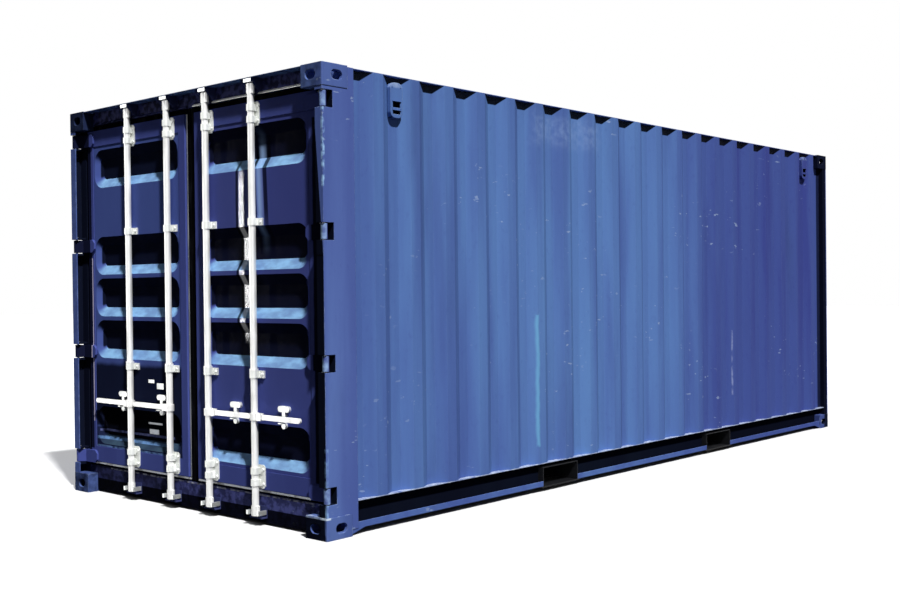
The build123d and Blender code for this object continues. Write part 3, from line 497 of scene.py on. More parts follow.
# On the left panel: painted shade over two fields, one above the other, and three thin painted highlights in
# the lower one.
LEFT_PANEL_PAINTED_LIGHT = (
    StainOrLight((-OPEN, -OPEN, 0.42), (OPEN, DOOR_BACK, 0.83), (9, 9, 12), 0.9, 0.02, (0.0, 0.0, 0.01)),
    StainOrLight((-OPEN, -OPEN, 0.20), (OPEN, DOOR_BACK, 0.42), (12, 12, 20), 0.85, 0.006, (0.0, 0.0, 0.004)),
    StainOrLight(
        (-1.02, -OPEN, 0.393), (-0.24, DOOR_BACK, 0.407), (150, 160, 230), 0.8, 0.002, (0.0, 0.0, 0.002), 0.4
    ),
    StainOrLight(
        (-1.04, -OPEN, 0.345), (-0.24, DOOR_BACK, 0.362), (120, 165, 225), 0.9, 0.002, (0.0, 0.0, 0.002), 0.4
    ),
    StainOrLight(
        (-1.04, -OPEN, 0.296), (-0.24, DOOR_BACK, 0.308), (130, 170, 230), 0.8, 0.002, (0.0, 0.0, 0.002), 0.3
    ),
)

# On the right panel: a strip of painted shade beside its frame.
RIGHT_PANEL_PAINTED_SHADE = (
    StainOrLight((1.045, -OPEN, 0.28), (1.2, OPEN, 2.17), (8, 8, 10), 0.9, 0.012, (0.008, 0.0, 0.02)),
)

# On the ventilators: painted shade in their insides at either end, and a painted highlight on their tops.
VENT_PAINTED_LIGHT = (
    StainOrLight((-1.206, -2.5115, 2.21), (1.206, -2.4485, 2.303), (6, 6, 8), 0.97, 0.001),
    StainOrLight((-1.206, 2.5645, 2.21), (1.206, 2.6275, 2.303), (6, 6, 8), 0.97, 0.001),
    StainOrLight((-OPEN, -OPEN, 2.372), (OPEN, OPEN, 2.45), (176, 196, 230), 0.6, 0.006, (0.0, 0.004, 0.0), 0.2),
)


@dataclass(frozen=True)
class Paint:
    """Blue enamel on steel, chalked by weather, washed in streaks, and pale at its edges, partly chipped and
    partly a painted highlight.

    Its cap is how far out and how high the edge of the roof cap lies; below it the heads of the valleys get a
    painted shadow of the cap, sloped by cap_slope.
    """

    name: str
    fresh: Colour
    chalky: Colour
    deep: Colour
    chip_and_highlight: Colour = seen(168, 186, 214)
    dirt: Colour = seen(44, 52, 80)
    # The colour of the painted shadow under the roof cap.
    painted_shade: Colour = seen(8, 8, 8)
    roughness: float = 0.5
    sheen: float = 0.12
    edge_reach: float = 0.004
    edge_wear_and_highlight: float = 0.45
    waves: float = 0.0025
    grime: float = 0.25
    cap: Pair | None = None
    cap_slope: float = 1.35
    stains_and_light: tuple[StainOrLight, ...] = ()

    def material(self) -> Material:
        """Build the paint's material.

        Returns:
            The material.
        """
        sheet = ShaderSheet(self.name)
        clouds = sheet.noise(0.8, (1.0, 1.0, 0.45), 3.0)
        washes = sheet.noise(5.5, (1.0, 1.0, 0.07), 4.0, 3.1)
        mottle = sheet.noise(34.0, (1.0, 1.0, 0.6), 5.0, 7.7)
        far = (sheet.axis("Y") + clouds * 0.8).rise(0.7, 1.9)
        chalk = (clouds.rise(0.35, 0.7) * 0.45 + washes.rise(0.4, 0.75) * 0.5 - far * 0.45).held()
        colour = sheet.blend(chalk, self.fresh, self.chalky)
        depth = (washes.rise(0.56, 0.3) * 0.35 + far * 0.72 + mottle.rise(0.55, 0.8) * 0.15).held()
        colour = sheet.blend(depth, colour, self.deep)
        grime = sheet.noise(2.2, (1.0, 1.0, 0.25), 6.0, 11.0).rise(0.55, 0.8) * self.grime
        colour = sheet.blend(grime, colour, self.dirt)
        # Pale edges: partly chipped paint, partly a painted highlight where the edges catch the light.
        patchy = sheet.noise(26.0, detail=4.0, seed=5.0).rise(0.42, 0.62)
        wear_and_highlight = (sheet.edges(self.edge_reach) * patchy * self.edge_wear_and_highlight + self._scratches(sheet)).held()
        colour = sheet.blend(wear_and_highlight, colour, self.chip_and_highlight)
        # Painted shadow of the roof cap in the heads of the valleys.
        if self.cap is not None:
            colour = sheet.blend(self._under_cap(sheet) * 0.93, colour, self.painted_shade)
        colour, cover = stained_and_lit(sheet, colour, self.stains_and_light)
        waves = sheet.noise(1.7, (1.0, 1.0, 0.8), 1.5, 9.0)
        normal = sheet.relief(waves, self.waves, sheet.rounded(self.edge_reach))
        fine = sheet.noise(420.0, detail=2.0, seed=1.0)
        normal = sheet.relief(fine - wear_and_highlight * 1.5, 0.0003, normal)
        rough = self.roughness + chalk * 0.18 + mottle * 0.1 - 0.05
        return sheet.glazed((1.0 - cover) * self.sheen, Base_Color=colour, Roughness=rough, Normal=normal)

    def _scratches(self, sheet: ShaderSheet) -> Wire:
        """Small pale scuffs in a few places.

        Args:
            sheet: The material's nodes.

        Returns:
            The mask.
        """
        fine = sheet.noise(26.0, (1.0, 0.5, 1.4), 5.0, 21.0).rise(0.66, 0.71)
        rare = sheet.noise(1.6, detail=2.0, seed=33.0).rise(0.5, 0.62)
        return fine * rare * 0.5

    def _under_cap(self, sheet: ShaderSheet) -> Wire:
        """A mask for the painted shadow of the roof cap: 1 high in the valleys of the wall, under the cap.

        Args:
            sheet: The material's nodes.

        Returns:
            The mask.
        """
        edge, foot = self.cap
        out = sheet.axis("X").size()
        reach = foot - (edge - out) * self.cap_slope
        return (sheet.axis("Z") - reach).rise(-0.002, 0.004) * out.rise(edge, edge - 0.002)


@dataclass(frozen=True)
class Crease:
    """A long upright dent where a load once leaned on the door, with a painted highlight on the side of its
    fold and painted shade beside it.

    Its place is where the fold stands at the height lean_from. Each foot and head is the pair of heights
    between which a mark fades.
    """

    place: float
    depth: float = 0.030
    gloss: float = 0.75
    # The colour of the painted highlight on the fold.
    scuff_and_highlight: Colour = seen(150, 180, 222)
    lean: float = 0.045
    lean_from: float = 1.9
    fold_foot: Pair = (1.45, 1.75)
    fold_head: Pair = (2.2, 2.0)
    strip_shift: float = 0.127
    strip_foot: Pair = (0.98, 1.1)
    strip_head: Pair = (2.0, 1.85)
    left_shift: float = 0.038
    left_foot: Pair = (0.95, 1.1)
    left_head: Pair = (2.05, 1.95)
    right_shift: float = 0.078

    def marks(self, sheet: ShaderSheet) -> tuple[Wire, Wire, Wire, Wire]:
        """The marks that the dent leaves in the paint.

        Args:
            sheet: The material's nodes.

        Returns:
            Its polished strip, its fold, the painted highlight on the side of the fold and the painted shade
            beside it.
        """
        upright = sheet.axis("Z")
        across = sheet.axis("X") - self.place - (self.lean_from - upright) * self.lean
        tall = upright.rise(*self.fold_foot) * upright.rise(*self.fold_head)
        ripple = sheet.noise(2.6, (0.3, 1.0, 1.0), 2.0, 3.0) * 0.016 - 0.008
        strip = sheet.axis("X") - self.place + self.strip_shift + ripple
        shine = strip.size().rise(0.028, 0.014)
        shine = shine * upright.rise(*self.strip_foot) * upright.rise(*self.strip_head)
        fold = across.rise(-0.03, 0.0) * across.rise(0.075, 0.0) * tall
        painted_highlight = across.rise(-0.02, 0.03) * across.rise(0.075, 0.02) * tall
        left = (strip + self.left_shift).size().rise(0.014, 0.008)
        left = left * upright.rise(*self.left_foot) * upright.rise(*self.left_head)
        right = (across - self.right_shift).size().rise(0.022, 0.012) * tall
        return shine, fold, painted_highlight, left.larger(right)


@dataclass(frozen=True)
class DoorPaint:
    """Dark enamel on the doors, with painted shade in its recesses and a pale dusty tone, partly a painted
    highlight, where the sheet looks up.
    """

    name: str
    body: Colour
    faded: Colour
    chip_and_highlight: Colour = seen(120, 140, 180)
    dust_and_highlight: Colour = seen(150, 200, 242)
    # The colour of painted shade, in the recesses and beside the crease.
    painted_shade: Colour = seen(8, 8, 10)
    roughness: float = 0.10
    gloss: float = 0.003
    waves: float = 0.003
    edge_reach: float = 0.004
    recess_start: float | None = None
    crease: Crease | None = None
    stains_and_light: tuple[StainOrLight, ...] = ()

    def material(self) -> Material:
        """Build the paint's material.

        Returns:
            The material.
        """
        sheet = ShaderSheet(self.name)
        outer = sheet.outer()
        clouds = sheet.noise(1.4, (1.0, 1.0, 0.6), 3.0, 2.0).rise(0.35, 0.7)
        runs = sheet.noise(9.0, (1.0, 1.0, 0.06), 4.0, 4.0).rise(0.5, 0.8)
        colour = sheet.blend(clouds * 0.5 + runs * 0.3, self.body, self.faded)
        # Pale edges: partly chipped paint, partly a painted highlight where the edges catch the light.
        patchy = sheet.noise(31.0, detail=4.0, seed=5.0).rise(0.45, 0.62)
        wear_and_highlight = (sheet.edges(self.edge_reach) * patchy * 0.35).held()
        colour = sheet.blend(wear_and_highlight, colour, self.chip_and_highlight)
        if self.recess_start is not None:
            colour = self._recessed(sheet, colour, outer)
        colour, cover = stained_and_lit(sheet, colour, self.stains_and_light, outer)
        waves = sheet.noise(2.3, (1.0, 1.0, 0.35), 1.0, 13.0)
        normal = sheet.relief(waves, self.waves, sheet.rounded(self.edge_reach))
        fine = sheet.noise(380.0, detail=2.0, seed=1.0)
        normal = sheet.relief(fine, 0.0002, normal)
        bloom = sheet.noise(6.0, (1.0, 1.0, 0.4), 4.0, 17.0)
        gloss = bloom.rise(0.75, 0.4) * self.gloss
        if self.crease is not None:
            shine, fold, painted_highlight, shade = self.crease.marks(sheet)
            # The pale side of the fold is a painted highlight; the dark bands beside it are painted shade.
            colour = sheet.blend(painted_highlight * outer * 0.6, colour, self.crease.scuff_and_highlight)
            colour = sheet.blend(shade * outer * 0.85, colour, self.painted_shade)
            normal = sheet.relief(fold, self.crease.depth, normal)
            gloss = gloss + shine * outer * self.crease.gloss
        rough = self.roughness + bloom.rise(0.5, 0.75) * 0.08 + wear_and_highlight * 0.3
        return sheet.glazed((1.0 - cover) * gloss, Base_Color=colour, Roughness=rough, Normal=normal)

    def _recessed(self, sheet: ShaderSheet, colour: Wire, outer: Wire) -> Wire:
        """A pale dusty tone on the slopes that look up, partly a painted highlight, and painted shade on the
        recess floors and the slopes that look down.

        Args:
            sheet: The material's nodes.
            colour: The colour below.
            outer: The mask of the door's outer faces.

        Returns:
            The colour with its pale tone and its painted shade.
        """
        slope = sheet.upward()
        streaks = sheet.noise(11.0, (1.0, 1.0, 2.2), 3.0, 8.0).rise(0.3, 0.75)
        # Pale on the slopes that look up: dusty, and partly a painted highlight.
        colour = sheet.blend(slope.rise(0.25, 0.6) * (streaks * 0.5 + 0.5) * outer, colour, self.dust_and_highlight)
        # Painted shade on the recess floors and on the slopes that look down.
        deep = sheet.axis("Y").rise(self.recess_start, self.recess_start + 0.004) * slope.rise(0.3, 0.1)
        deep = deep.larger(slope.rise(-0.15, -0.4))
        return sheet.blend(deep * outer * 0.93, colour, self.painted_shade)


@dataclass(frozen=True)
class KeeperCoat:
    """Dark enamel on the keepers, with bare zinc where the rods have rubbed them."""

    name: str
    paint: Colour = seen(60, 66, 110)
    zinc: Colour = seen(236, 238, 236)
    rubbed: Colour = seen(204, 206, 204)
    header_bar: float = 2.4115
    rod_places: Pair = ROD_PLACES
    rub_half: float = 0.031
    lug_foot: float = 0.059
    lug_head: float = 0.0845
    plate_face: float = -2.9625

    def material(self) -> Material:
        """Build the coat's material.

        Returns:
            The material.
        """
        sheet = ShaderSheet(self.name)
        height = sheet.axis("Z")
        across = sheet.axis("X").size()
        near, far = (
            (across - place).size().rise(self.rub_half + 0.002, self.rub_half) for place in self.rod_places
        )
        lugs = height.rise(self.lug_foot, self.lug_foot + 0.001)
        lugs = lugs * height.rise(self.lug_head, self.lug_head - 0.001)
        bar = height.rise(self.header_bar, self.header_bar + 0.001) * near.larger(far)
        forward = sheet.axis("Y").rise(self.plate_face, self.plate_face - 0.001)
        bare = ((lugs + bar) * forward).held()
        rub = sheet.noise(40.0, detail=5.0, seed=4.0).rise(0.4, 0.7)
        colour = sheet.blend(bare, self.paint, sheet.blend(rub * 0.4, self.zinc, self.rubbed))
        normal = sheet.relief(sheet.noise(260.0, detail=3.0), 0.0003, sheet.rounded(0.003))
        rough = 0.4 + rub * 0.15
        return sheet.glazed(bare, Base_Color=colour, Metallic=bare * 0.85, Roughness=rough, Normal=normal)


@dataclass(frozen=True)
class Zinc:
    """Hot-dipped zinc with a faint crystal pattern and white bloom."""

    name: str
    bright: Colour
    bloom: Colour
    dirt: Colour = seen(128, 120, 108)
    roughness: float = 0.42
    metal: float = 0.35

    def material(self) -> Material:
        """Build the coating's material.

        Returns:
            The material.
        """
        sheet = ShaderSheet(self.name)
        inputs = {"Vector": sheet.place(), "Scale": 70.0, "Randomness": 1.0}
        crystals = sheet.node("ShaderNodeTexVoronoi", {"feature": "SMOOTH_F1"}, inputs, "Distance")
        bloom = sheet.noise(14.0, (1.0, 1.0, 0.3), 5.0, 4.0).rise(0.4, 0.7)
        colour = sheet.blend(bloom, self.bright, self.bloom)
        dirt = sheet.noise(9.0, (1.0, 1.0, 0.5), 6.0, 8.0).rise(0.62, 0.82)
        colour = sheet.blend(dirt * 0.25, colour, self.dirt)
        grain = sheet.noise(300.0, detail=3.0)
        normal = sheet.relief(crystals * 0.6 + grain * 0.4, 0.0003, sheet.rounded(0.002))
        metal = (1.0 - bloom * 0.6) * self.metal
        rough = self.roughness + bloom * 0.2 + crystals * 0.1
        return sheet.close(Base_Color=colour, Metallic=metal, Roughness=rough, Normal=normal)


@dataclass(frozen=True)
class Rubber:
    """Black extruded sealing rubber, dusty in its folds."""

    name: str
    body: Colour = seen(12, 12, 15)
    dust_and_highlight: Colour = seen(52, 55, 64)

    def material(self) -> Material:
        """Build the rubber's material.

        Returns:
            The material.
        """
        sheet = ShaderSheet(self.name)
        dust_and_highlight = sheet.noise(12.0, (1.0, 1.0, 0.3), 5.0).rise(0.55, 0.85)
        colour = sheet.blend(dust_and_highlight * 0.35, self.body, self.dust_and_highlight)
        ribs = sheet.noise(240.0, (1.0, 1.0, 0.02), 2.0, 3.0)
        normal = sheet.relief(ribs, 0.0006, sheet.rounded(0.003))
        return sheet.glazed(dust_and_highlight * 0.05, Base_Color=colour, Roughness=0.55 + dust_and_highlight * 0.3, Normal=normal)


@dataclass(frozen=True)
class Underseal:
    """Thick black coating sprayed on the base."""

    name: str
    body: Colour = seen(16, 17, 21)
    splash: Colour = seen(58, 54, 50)
    specular: float = 0.2

    def material(self) -> Material:
        """Build the coating's material.

        Returns:
            The material.
        """
        sheet = ShaderSheet(self.name)
        splash = sheet.noise(5.0, detail=6.0, seed=2.0).rise(0.5, 0.8)
        colour = sheet.blend(splash * 0.5, self.body, self.splash)
        normal = sheet.relief(sheet.noise(110.0, detail=4.0), 0.0012, sheet.rounded(0.003))
        rough = 0.6 + splash * 0.25
        return sheet.close(
            Base_Color=colour, Roughness=rough, Normal=normal, Specular_IOR_Level=self.specular
        )


@dataclass(frozen=True)
class DeckTimber:
    """Oiled plywood deck in long sheets with wheel tracks rubbed into it."""

    name: str
    light: Colour = seen(150, 104, 66)
    dark: Colour = seen(88, 56, 36)
    scuff_and_highlight: Colour = seen(70, 60, 54)
    joint: Colour = seen(24, 18, 14)
    joint_width: float = 0.004
    sheet_width: float = 1.16
    sheet_length: float = 2.4

    def material(self) -> Material:
        """Build the timber's material.

        Returns:
            The material.
        """
        sheet = ShaderSheet(self.name)
        grain = sheet.noise(16.0, (1.0, 0.05, 1.0), 8.0)
        tone = sheet.noise(1.1, (1.0, 0.5, 1.0), 3.0, 6.0)
        colour = sheet.blend((grain * 0.7 + tone * 0.3).rise(0.3, 0.7), self.dark, self.light)
        scuffs = sheet.noise(7.0, (1.0, 0.15, 1.0), 6.0, 12.0).rise(0.5, 0.75)
        colour = sheet.blend(scuffs * 0.4, colour, self.scuff_and_highlight)
        joints = self._joints(sheet)
        colour = sheet.blend(joints, colour, self.joint)
        normal = sheet.relief(grain * 0.4 - joints * 3.0, 0.001)
        return sheet.close(Base_Color=colour, Roughness=0.5 + scuffs * 0.2, Normal=normal)

    def _joints(self, sheet: ShaderSheet) -> Wire:
        """The gaps between the plywood sheets, whose long side runs along the container.

        Args:
            sheet: The material's nodes.

        Returns:
            A mask that is 1 in the gaps.
        """
        turned = {"X": sheet.axis("Y"), "Y": sheet.axis("X"), "Z": sheet.axis("Z")}
        inputs = {
            "Vector": sheet.node("ShaderNodeCombineXYZ", inputs=turned),
            "Scale": 1.0,
            "Mortar Size": self.joint_width,
            "Mortar Smooth": 0.1,
            "Brick Width": self.sheet_length,
            "Row Height": self.sheet_width,
        }
        return sheet.node("ShaderNodeTexBrick", {"offset": 0.5, "squash": 1.0}, inputs, "Fac")


SHEET_BLUES = (seen(80, 106, 168), seen(94, 132, 188))
WALL_BLUES = (*SHEET_BLUES, seen(58, 68, 136))
ROOF_BLUES = (*SHEET_BLUES, seen(66, 84, 152))
FRAME_BLUES = (seen(80, 98, 164), seen(96, 122, 184), seen(62, 74, 140))
RAIL_BLUES = (seen(76, 98, 164), seen(92, 124, 184), seen(62, 78, 144))
CASTING_BLUES = (seen(80, 100, 164), seen(98, 122, 180), seen(60, 72, 132))
END_BLUES = (seen(74, 79, 140), seen(85, 92, 154), seen(52, 54, 98))
RECESS_START = -2.944


@dataclass
class Finishes:
    """Every finish of the container, built once."""

    # The wall's cap paints the roof cap's shadow into the heads of its valleys.
    wall: Paint = Paint("wall_enamel", *WALL_BLUES, cap=(1.2105, 2.428), stains_and_light=WALL_STAINS_AND_SHADE)
    roof: Paint = Paint("roof_enamel", *ROOF_BLUES, stains_and_light=ROOF_EDGE_BAND)
    frame: Paint = Paint(
        "frame_enamel", *FRAME_BLUES, edge_wear_and_highlight=0.8, waves=0.001, sheen=0.03, stains_and_light=FRAME_PAINTED_LIGHT
    )
    rail: Paint = Paint("rail_enamel", *RAIL_BLUES, stains_and_light=RAIL_PAINTED_LIGHT)
    casting: Paint = Paint(
        "casting_enamel", *CASTING_BLUES, edge_wear_and_highlight=1.0, edge_reach=0.006, sheen=0.03, stains_and_light=CASTING_PAINTED_LIGHT
    )
    end_frame: Paint = Paint(
        "end_frame_enamel", *END_BLUES, edge_wear_and_highlight=0.5, roughness=0.35, sheen=0.04, stains_and_light=END_FRAME_PAINTED_LIGHT
    )
    leaf_frame: DoorPaint = DoorPaint(
        "leaf_frame_enamel", seen(70, 80, 148), seen(79, 92, 162), stains_and_light=LEAF_FRAME_PAINTED_LIGHT
    )
    left_panel: DoorPaint = DoorPaint(
        "left_panel_enamel",
        seen(74, 90, 158),
        seen(82, 102, 170),
        recess_start=RECESS_START,
        stains_and_light=LEFT_PANEL_PAINTED_LIGHT,
    )
    right_panel: DoorPaint = DoorPaint(
        "right_panel_enamel",
        seen(70, 79, 148),
        seen(77, 90, 160),
        recess_start=RECESS_START,
        crease=Crease(0.60),
        stains_and_light=RIGHT_PANEL_PAINTED_SHADE,
    )
    vents: Paint = Paint("vent_enamel", *WALL_BLUES, edge_wear_and_highlight=0.9, stains_and_light=VENT_PAINTED_LIGHT)
    keepers: KeeperCoat = KeeperCoat("keeper_enamel")
    fittings: Zinc = Zinc("dull_zinc", seen(228, 230, 226), seen(244, 246, 244), metal=0.55)
    rods: Zinc = Zinc("rod_zinc", seen(240, 240, 238), seen(250, 250, 248), roughness=0.34, metal=0.45)
    pins: Zinc = Zinc("pin_steel_grey", seen(120, 124, 130), seen(150, 152, 156), metal=0.7)
    seal: Rubber = Rubber("sealing_rubber")
    base: Underseal = Underseal("black_underseal")
    deck: DeckTimber = DeckTimber("oiled_deck")
    made: dict[str, Material] = field(default_factory=dict)

    def get(self, name: str) -> Material:
        """One finish's material, built at its first use.

        Args:
            name: The field that holds the finish.

        Returns:
            The material.
        """
        if name not in self.made:
            self.made[name] = getattr(self, name).material()
        return self.made[name]


class Workshop:
    """Mesh tools shared by the sub-assemblies."""

    bar_edge = 0.0008
    bead_ripple = 0.012

    @staticmethod
    def piece(name: str, mesh: Mesh, material: Material) -> bpy.types.Object:
        """Turn a built mesh into a piece of the scene.

        Args:
            name: The piece's name.
            mesh: The built mesh; it is freed.
            material: The piece's finish.

        Returns:
            The new object.
        """
        data = bpy.data.meshes.new(name)
        bmesh.ops.recalc_face_normals(mesh, faces=mesh.faces)
        mesh.to_mesh(data)
        mesh.free()
        data.materials.append(material)
        made = bpy.data.objects.new(name, data)
        bpy.context.scene.collection.objects.link(made)
        return made

    @staticmethod
    def turned(foot: Point | Vector, way: Point | Vector) -> Matrix:
        """The matrix that stands a shape on its foot and points it a way."""
        return Matrix.Translation(foot) @ Vector(way).to_track_quat("Z", "Y").to_matrix().to_4x4()

    @staticmethod
    def ring(mesh: Mesh, placed: Matrix, height: float, radius: float, sides: int) -> Ring:
        """Add a ring of points.

        Args:
            mesh: The mesh that it is added to.
            placed: Where the ring's own frame stands.
            height: The ring's height in that frame.
            radius: Its radius.
            sides: How many points it has.

        Returns:
            The points.
        """
        points = []
        for index in range(sides):
            angle = 2 * math.pi * index / sides
            local = Vector((radius * math.cos(angle), radius * math.sin(angle), height))
            points.append(mesh.verts.new(placed @ local))
        return points

    @staticmethod
    def skin(mesh: Mesh, rings: list[Ring]) -> None:
        """Close a row of rings with sides between them and a cap at either end.

        Args:
            mesh: The mesh that they belong to.
            rings: The rings, in order.
        """
        for lower, upper in zip(rings[:-1], rings[1:]):
            for index in range(len(lower)):
                after = (index + 1) % len(lower)
                mesh.faces.new((lower[index], lower[after], upper[after], upper[index]))
        mesh.faces.new(rings[-1])
        mesh.faces.new(list(reversed(rings[0])))

    @classmethod
    def bar(cls, mesh: Mesh, low: Point, high: Point) -> None:
        """Add a bar with softened edges between two corners.

        Args:
            mesh: The mesh that it is added to.
            low: Its lowest corner.
            high: Its highest corner.
        """
        size = [top - base for base, top in zip(low, high)]
        middle = [(top + base) / 2 for base, top in zip(low, high)]
        placed = Matrix.Translation(middle) @ Matrix.Diagonal((*size, 1.0))
        made = bmesh.ops.create_cube(mesh, size=1.0, matrix=placed)
        edges = {edge for vertex in made["verts"] for edge in vertex.link_edges}
        cut = min(cls.bar_edge, min(size) * 0.3)
        bmesh.ops.bevel(mesh, geom=list(edges), offset=cut, segments=1, affect="EDGES")

    @classmethod
    def prism(cls, mesh: Mesh, outline: tuple[Pair, ...], start: float, end: float) -> None:
        """Add a bar along X with a free outline.

        Args:
            mesh: The mesh that it is added to.
            outline: Its corners as pairs of Y and Z.
            start: Its lowest X.
            end: Its highest X.
        """
        cls.skin(mesh, [[mesh.verts.new((x, y, z)) for y, z in outline] for x in (start, end)])

    @classmethod
    def stud(cls, mesh: Mesh, foot: Point, way: Point, steps: Iterable[Pair], sides: int) -> None:
        """Add a turned or hexagonal stud from a list of rings.

        Args:
            mesh: The mesh that it is added to.
            foot: The middle of its foot.
            way: The direction that it points in.
            steps: Pairs of height and radius, from the foot up.
            sides: 6 for a hexagon, more for a round head.
        """
        placed = cls.turned(foot, way)
        cls.skin(mesh, [cls.ring(mesh, placed, height, radius, sides) for height, radius in steps])

    @classmethod
    def bolt(cls, mesh: Mesh, foot: Point, way: Point, across: float) -> None:
        """Add a hexagon bolt head on its washer.

        Args:
            mesh: The mesh that it is added to.
            foot: Where it meets its plate.
            way: The direction that it points in.
            across: Its width over the flats.
        """
        corner = across / 2 / math.cos(math.pi / 6)
        washer = across * 0.62
        cls.stud(mesh, foot, way, ((-0.001, washer), (0.0018, washer), (0.0022, washer * 0.94)), 16)
        low, shoulder, top = (0.002 + across * share for share in (0.0, 0.36, 0.42))
        cls.stud(mesh, foot, way, ((low, corner), (shoulder, corner), (top, corner * 0.86)), 6)

    @classmethod
    def rivet(cls, mesh: Mesh, foot: Point, way: Point, radius: float) -> None:
        """Add a domed rivet head.

        Args:
            mesh: The mesh that it is added to.
            foot: Where it meets its plate.
            way: The direction that it points in.
            radius: The head's radius.
        """
        dome = ((0.18, 1.0), (0.42, 0.82), (0.58, 0.45))
        steps = [(-0.0005, radius)] + [(radius * height, radius * width) for height, width in dome]
        cls.stud(mesh, foot, way, steps, 12)

    @classmethod
    def bead(cls, mesh: Mesh, start: Point, end: Point, radius: float, seed: int) -> None:
        """Add a rippled weld bead along a line.

        Args:
            mesh: The mesh that it is added to.
            start: Where it starts.
            end: Where it ends.
            radius: Its mean radius.
            seed: What its ripples are drawn from.
        """
        chance = random.Random(seed)
        first, last = Vector(start), Vector(end)
        count = max(2, int((last - first).length / cls.bead_ripple))
        rings = []
        for index in range(count + 1):
            swell = radius * (0.78 + 0.22 * (index % 2) + chance.uniform(-0.08, 0.08))
            if index in (0, count):
                swell *= 0.4
            placed = cls.turned(first.lerp(last, index / count), last - first)
            rings.append(cls.ring(mesh, placed, 0.0, swell, 6))
        cls.skin(mesh, rings)


@dataclass
class SubAssembly:
    """A group of the container's pieces that are dressed together."""

    finishes: Finishes
    body: str = "container"
    pieces: list[str] = field(default_factory=list)

    def dress(self, finish: str, *nodes: str) -> None:
        """Give solids of the frame a finish.

        Args:
            finish: The finish's name.
            nodes: The solids' names.
        """
        for name in nodes:
            for slot in frame["nodes"][name].material_slots:
                slot.material = self.finishes.get(finish)
            self.pieces.append(name)

    def add(self, name: str, mesh: Mesh, finish: str, slot: str) -> None:
        """Add a new piece that rides on the sub-assembly's body.

        Args:
            name: The piece's name.
            mesh: Its built mesh.
            finish: Its finish's name.
            slot: The record's material slot; it is not used.
        """
        made = Workshop.piece(name, mesh, self.finishes.get(finish))
        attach(made, self.body)
        self.pieces.append(name)

    def report(self) -> None:
        """Log the pieces that were dressed or built."""
        for name in self.pieces:
            log.info("%s: %s", type(self).__name__, name)


@dataclass
class Shell(SubAssembly):
    """The corrugated walls, the roof and the small air vents."""

    wall_x: float = 1.175
    wall_start: float = -2.850
    wall_end: float = 2.955
    wall_foot: float = 0.181
    wall_head: float = 2.428
    weld_radius: float = 0.0035
    weld_shift: float = 0.0015
    vent_places: Pair = (-2.480, 2.596)
    vent_face: float = 1.209
    vent_foot: float = 2.208
    vent_head: float = 2.398
    rivet_reach: float = 0.032
    rivet_insets: Pair = (0.053, 0.024)
    rivet_radius: float = 0.004
    rim_feet: Pair = (0.040, 0.088)
    rim_half: float = 0.033
    rim_depth: float = 0.006
    rim_height: float = 0.003

    def build(self) -> None:
        """Dress the sheets and add their welds and the vents' fittings."""
        self.dress("wall", "side_wall_right", "side_wall_left")
        self.dress("vents", "ventilators")
        self.dress("roof", "front_wall", "roof_panel")
        self.corner_welds()
        self.vent_fittings()
        self.report()

    def corner_welds(self) -> None:
        """Weld beads where the side walls meet the posts."""
        mesh = bmesh.new()
        for number, side in enumerate(Side):
            x = side.value * (self.wall_x + self.weld_shift)
            for y in (self.wall_start + self.weld_shift, self.wall_end - self.weld_shift):
                Workshop.bead(mesh, (x, y, self.wall_foot), (x, y, self.wall_head), self.weld_radius, number)
        self.add("wall_corner_welds", mesh, "wall", "wall_paint")

    def vent_fittings(self) -> None:
        """Rivets and a rounded rain rim on each vent."""
        mesh = bmesh.new()
        heights = (self.vent_foot + self.rivet_insets[0], self.vent_head - self.rivet_insets[1])
        for side in Side:
            x = side.value * self.vent_face
            low_x = min(x, x + side.value * self.rim_depth)
            for middle in self.vent_places:
                for y in (middle - self.rivet_reach, middle + self.rivet_reach):
                    for height in heights:
                        Workshop.rivet(mesh, (x, y, height), (side.value, 0, 0), self.rivet_radius)
                for foot in self.rim_feet:
                    low = (low_x, middle - self.rim_half, self.vent_foot + foot)
                    high = (low_x + self.rim_depth, middle + self.rim_half, low[2] + self.rim_height)
                    Workshop.bar(mesh, low, high)
        self.add("vent_rims", mesh, "wall", "wall_paint")


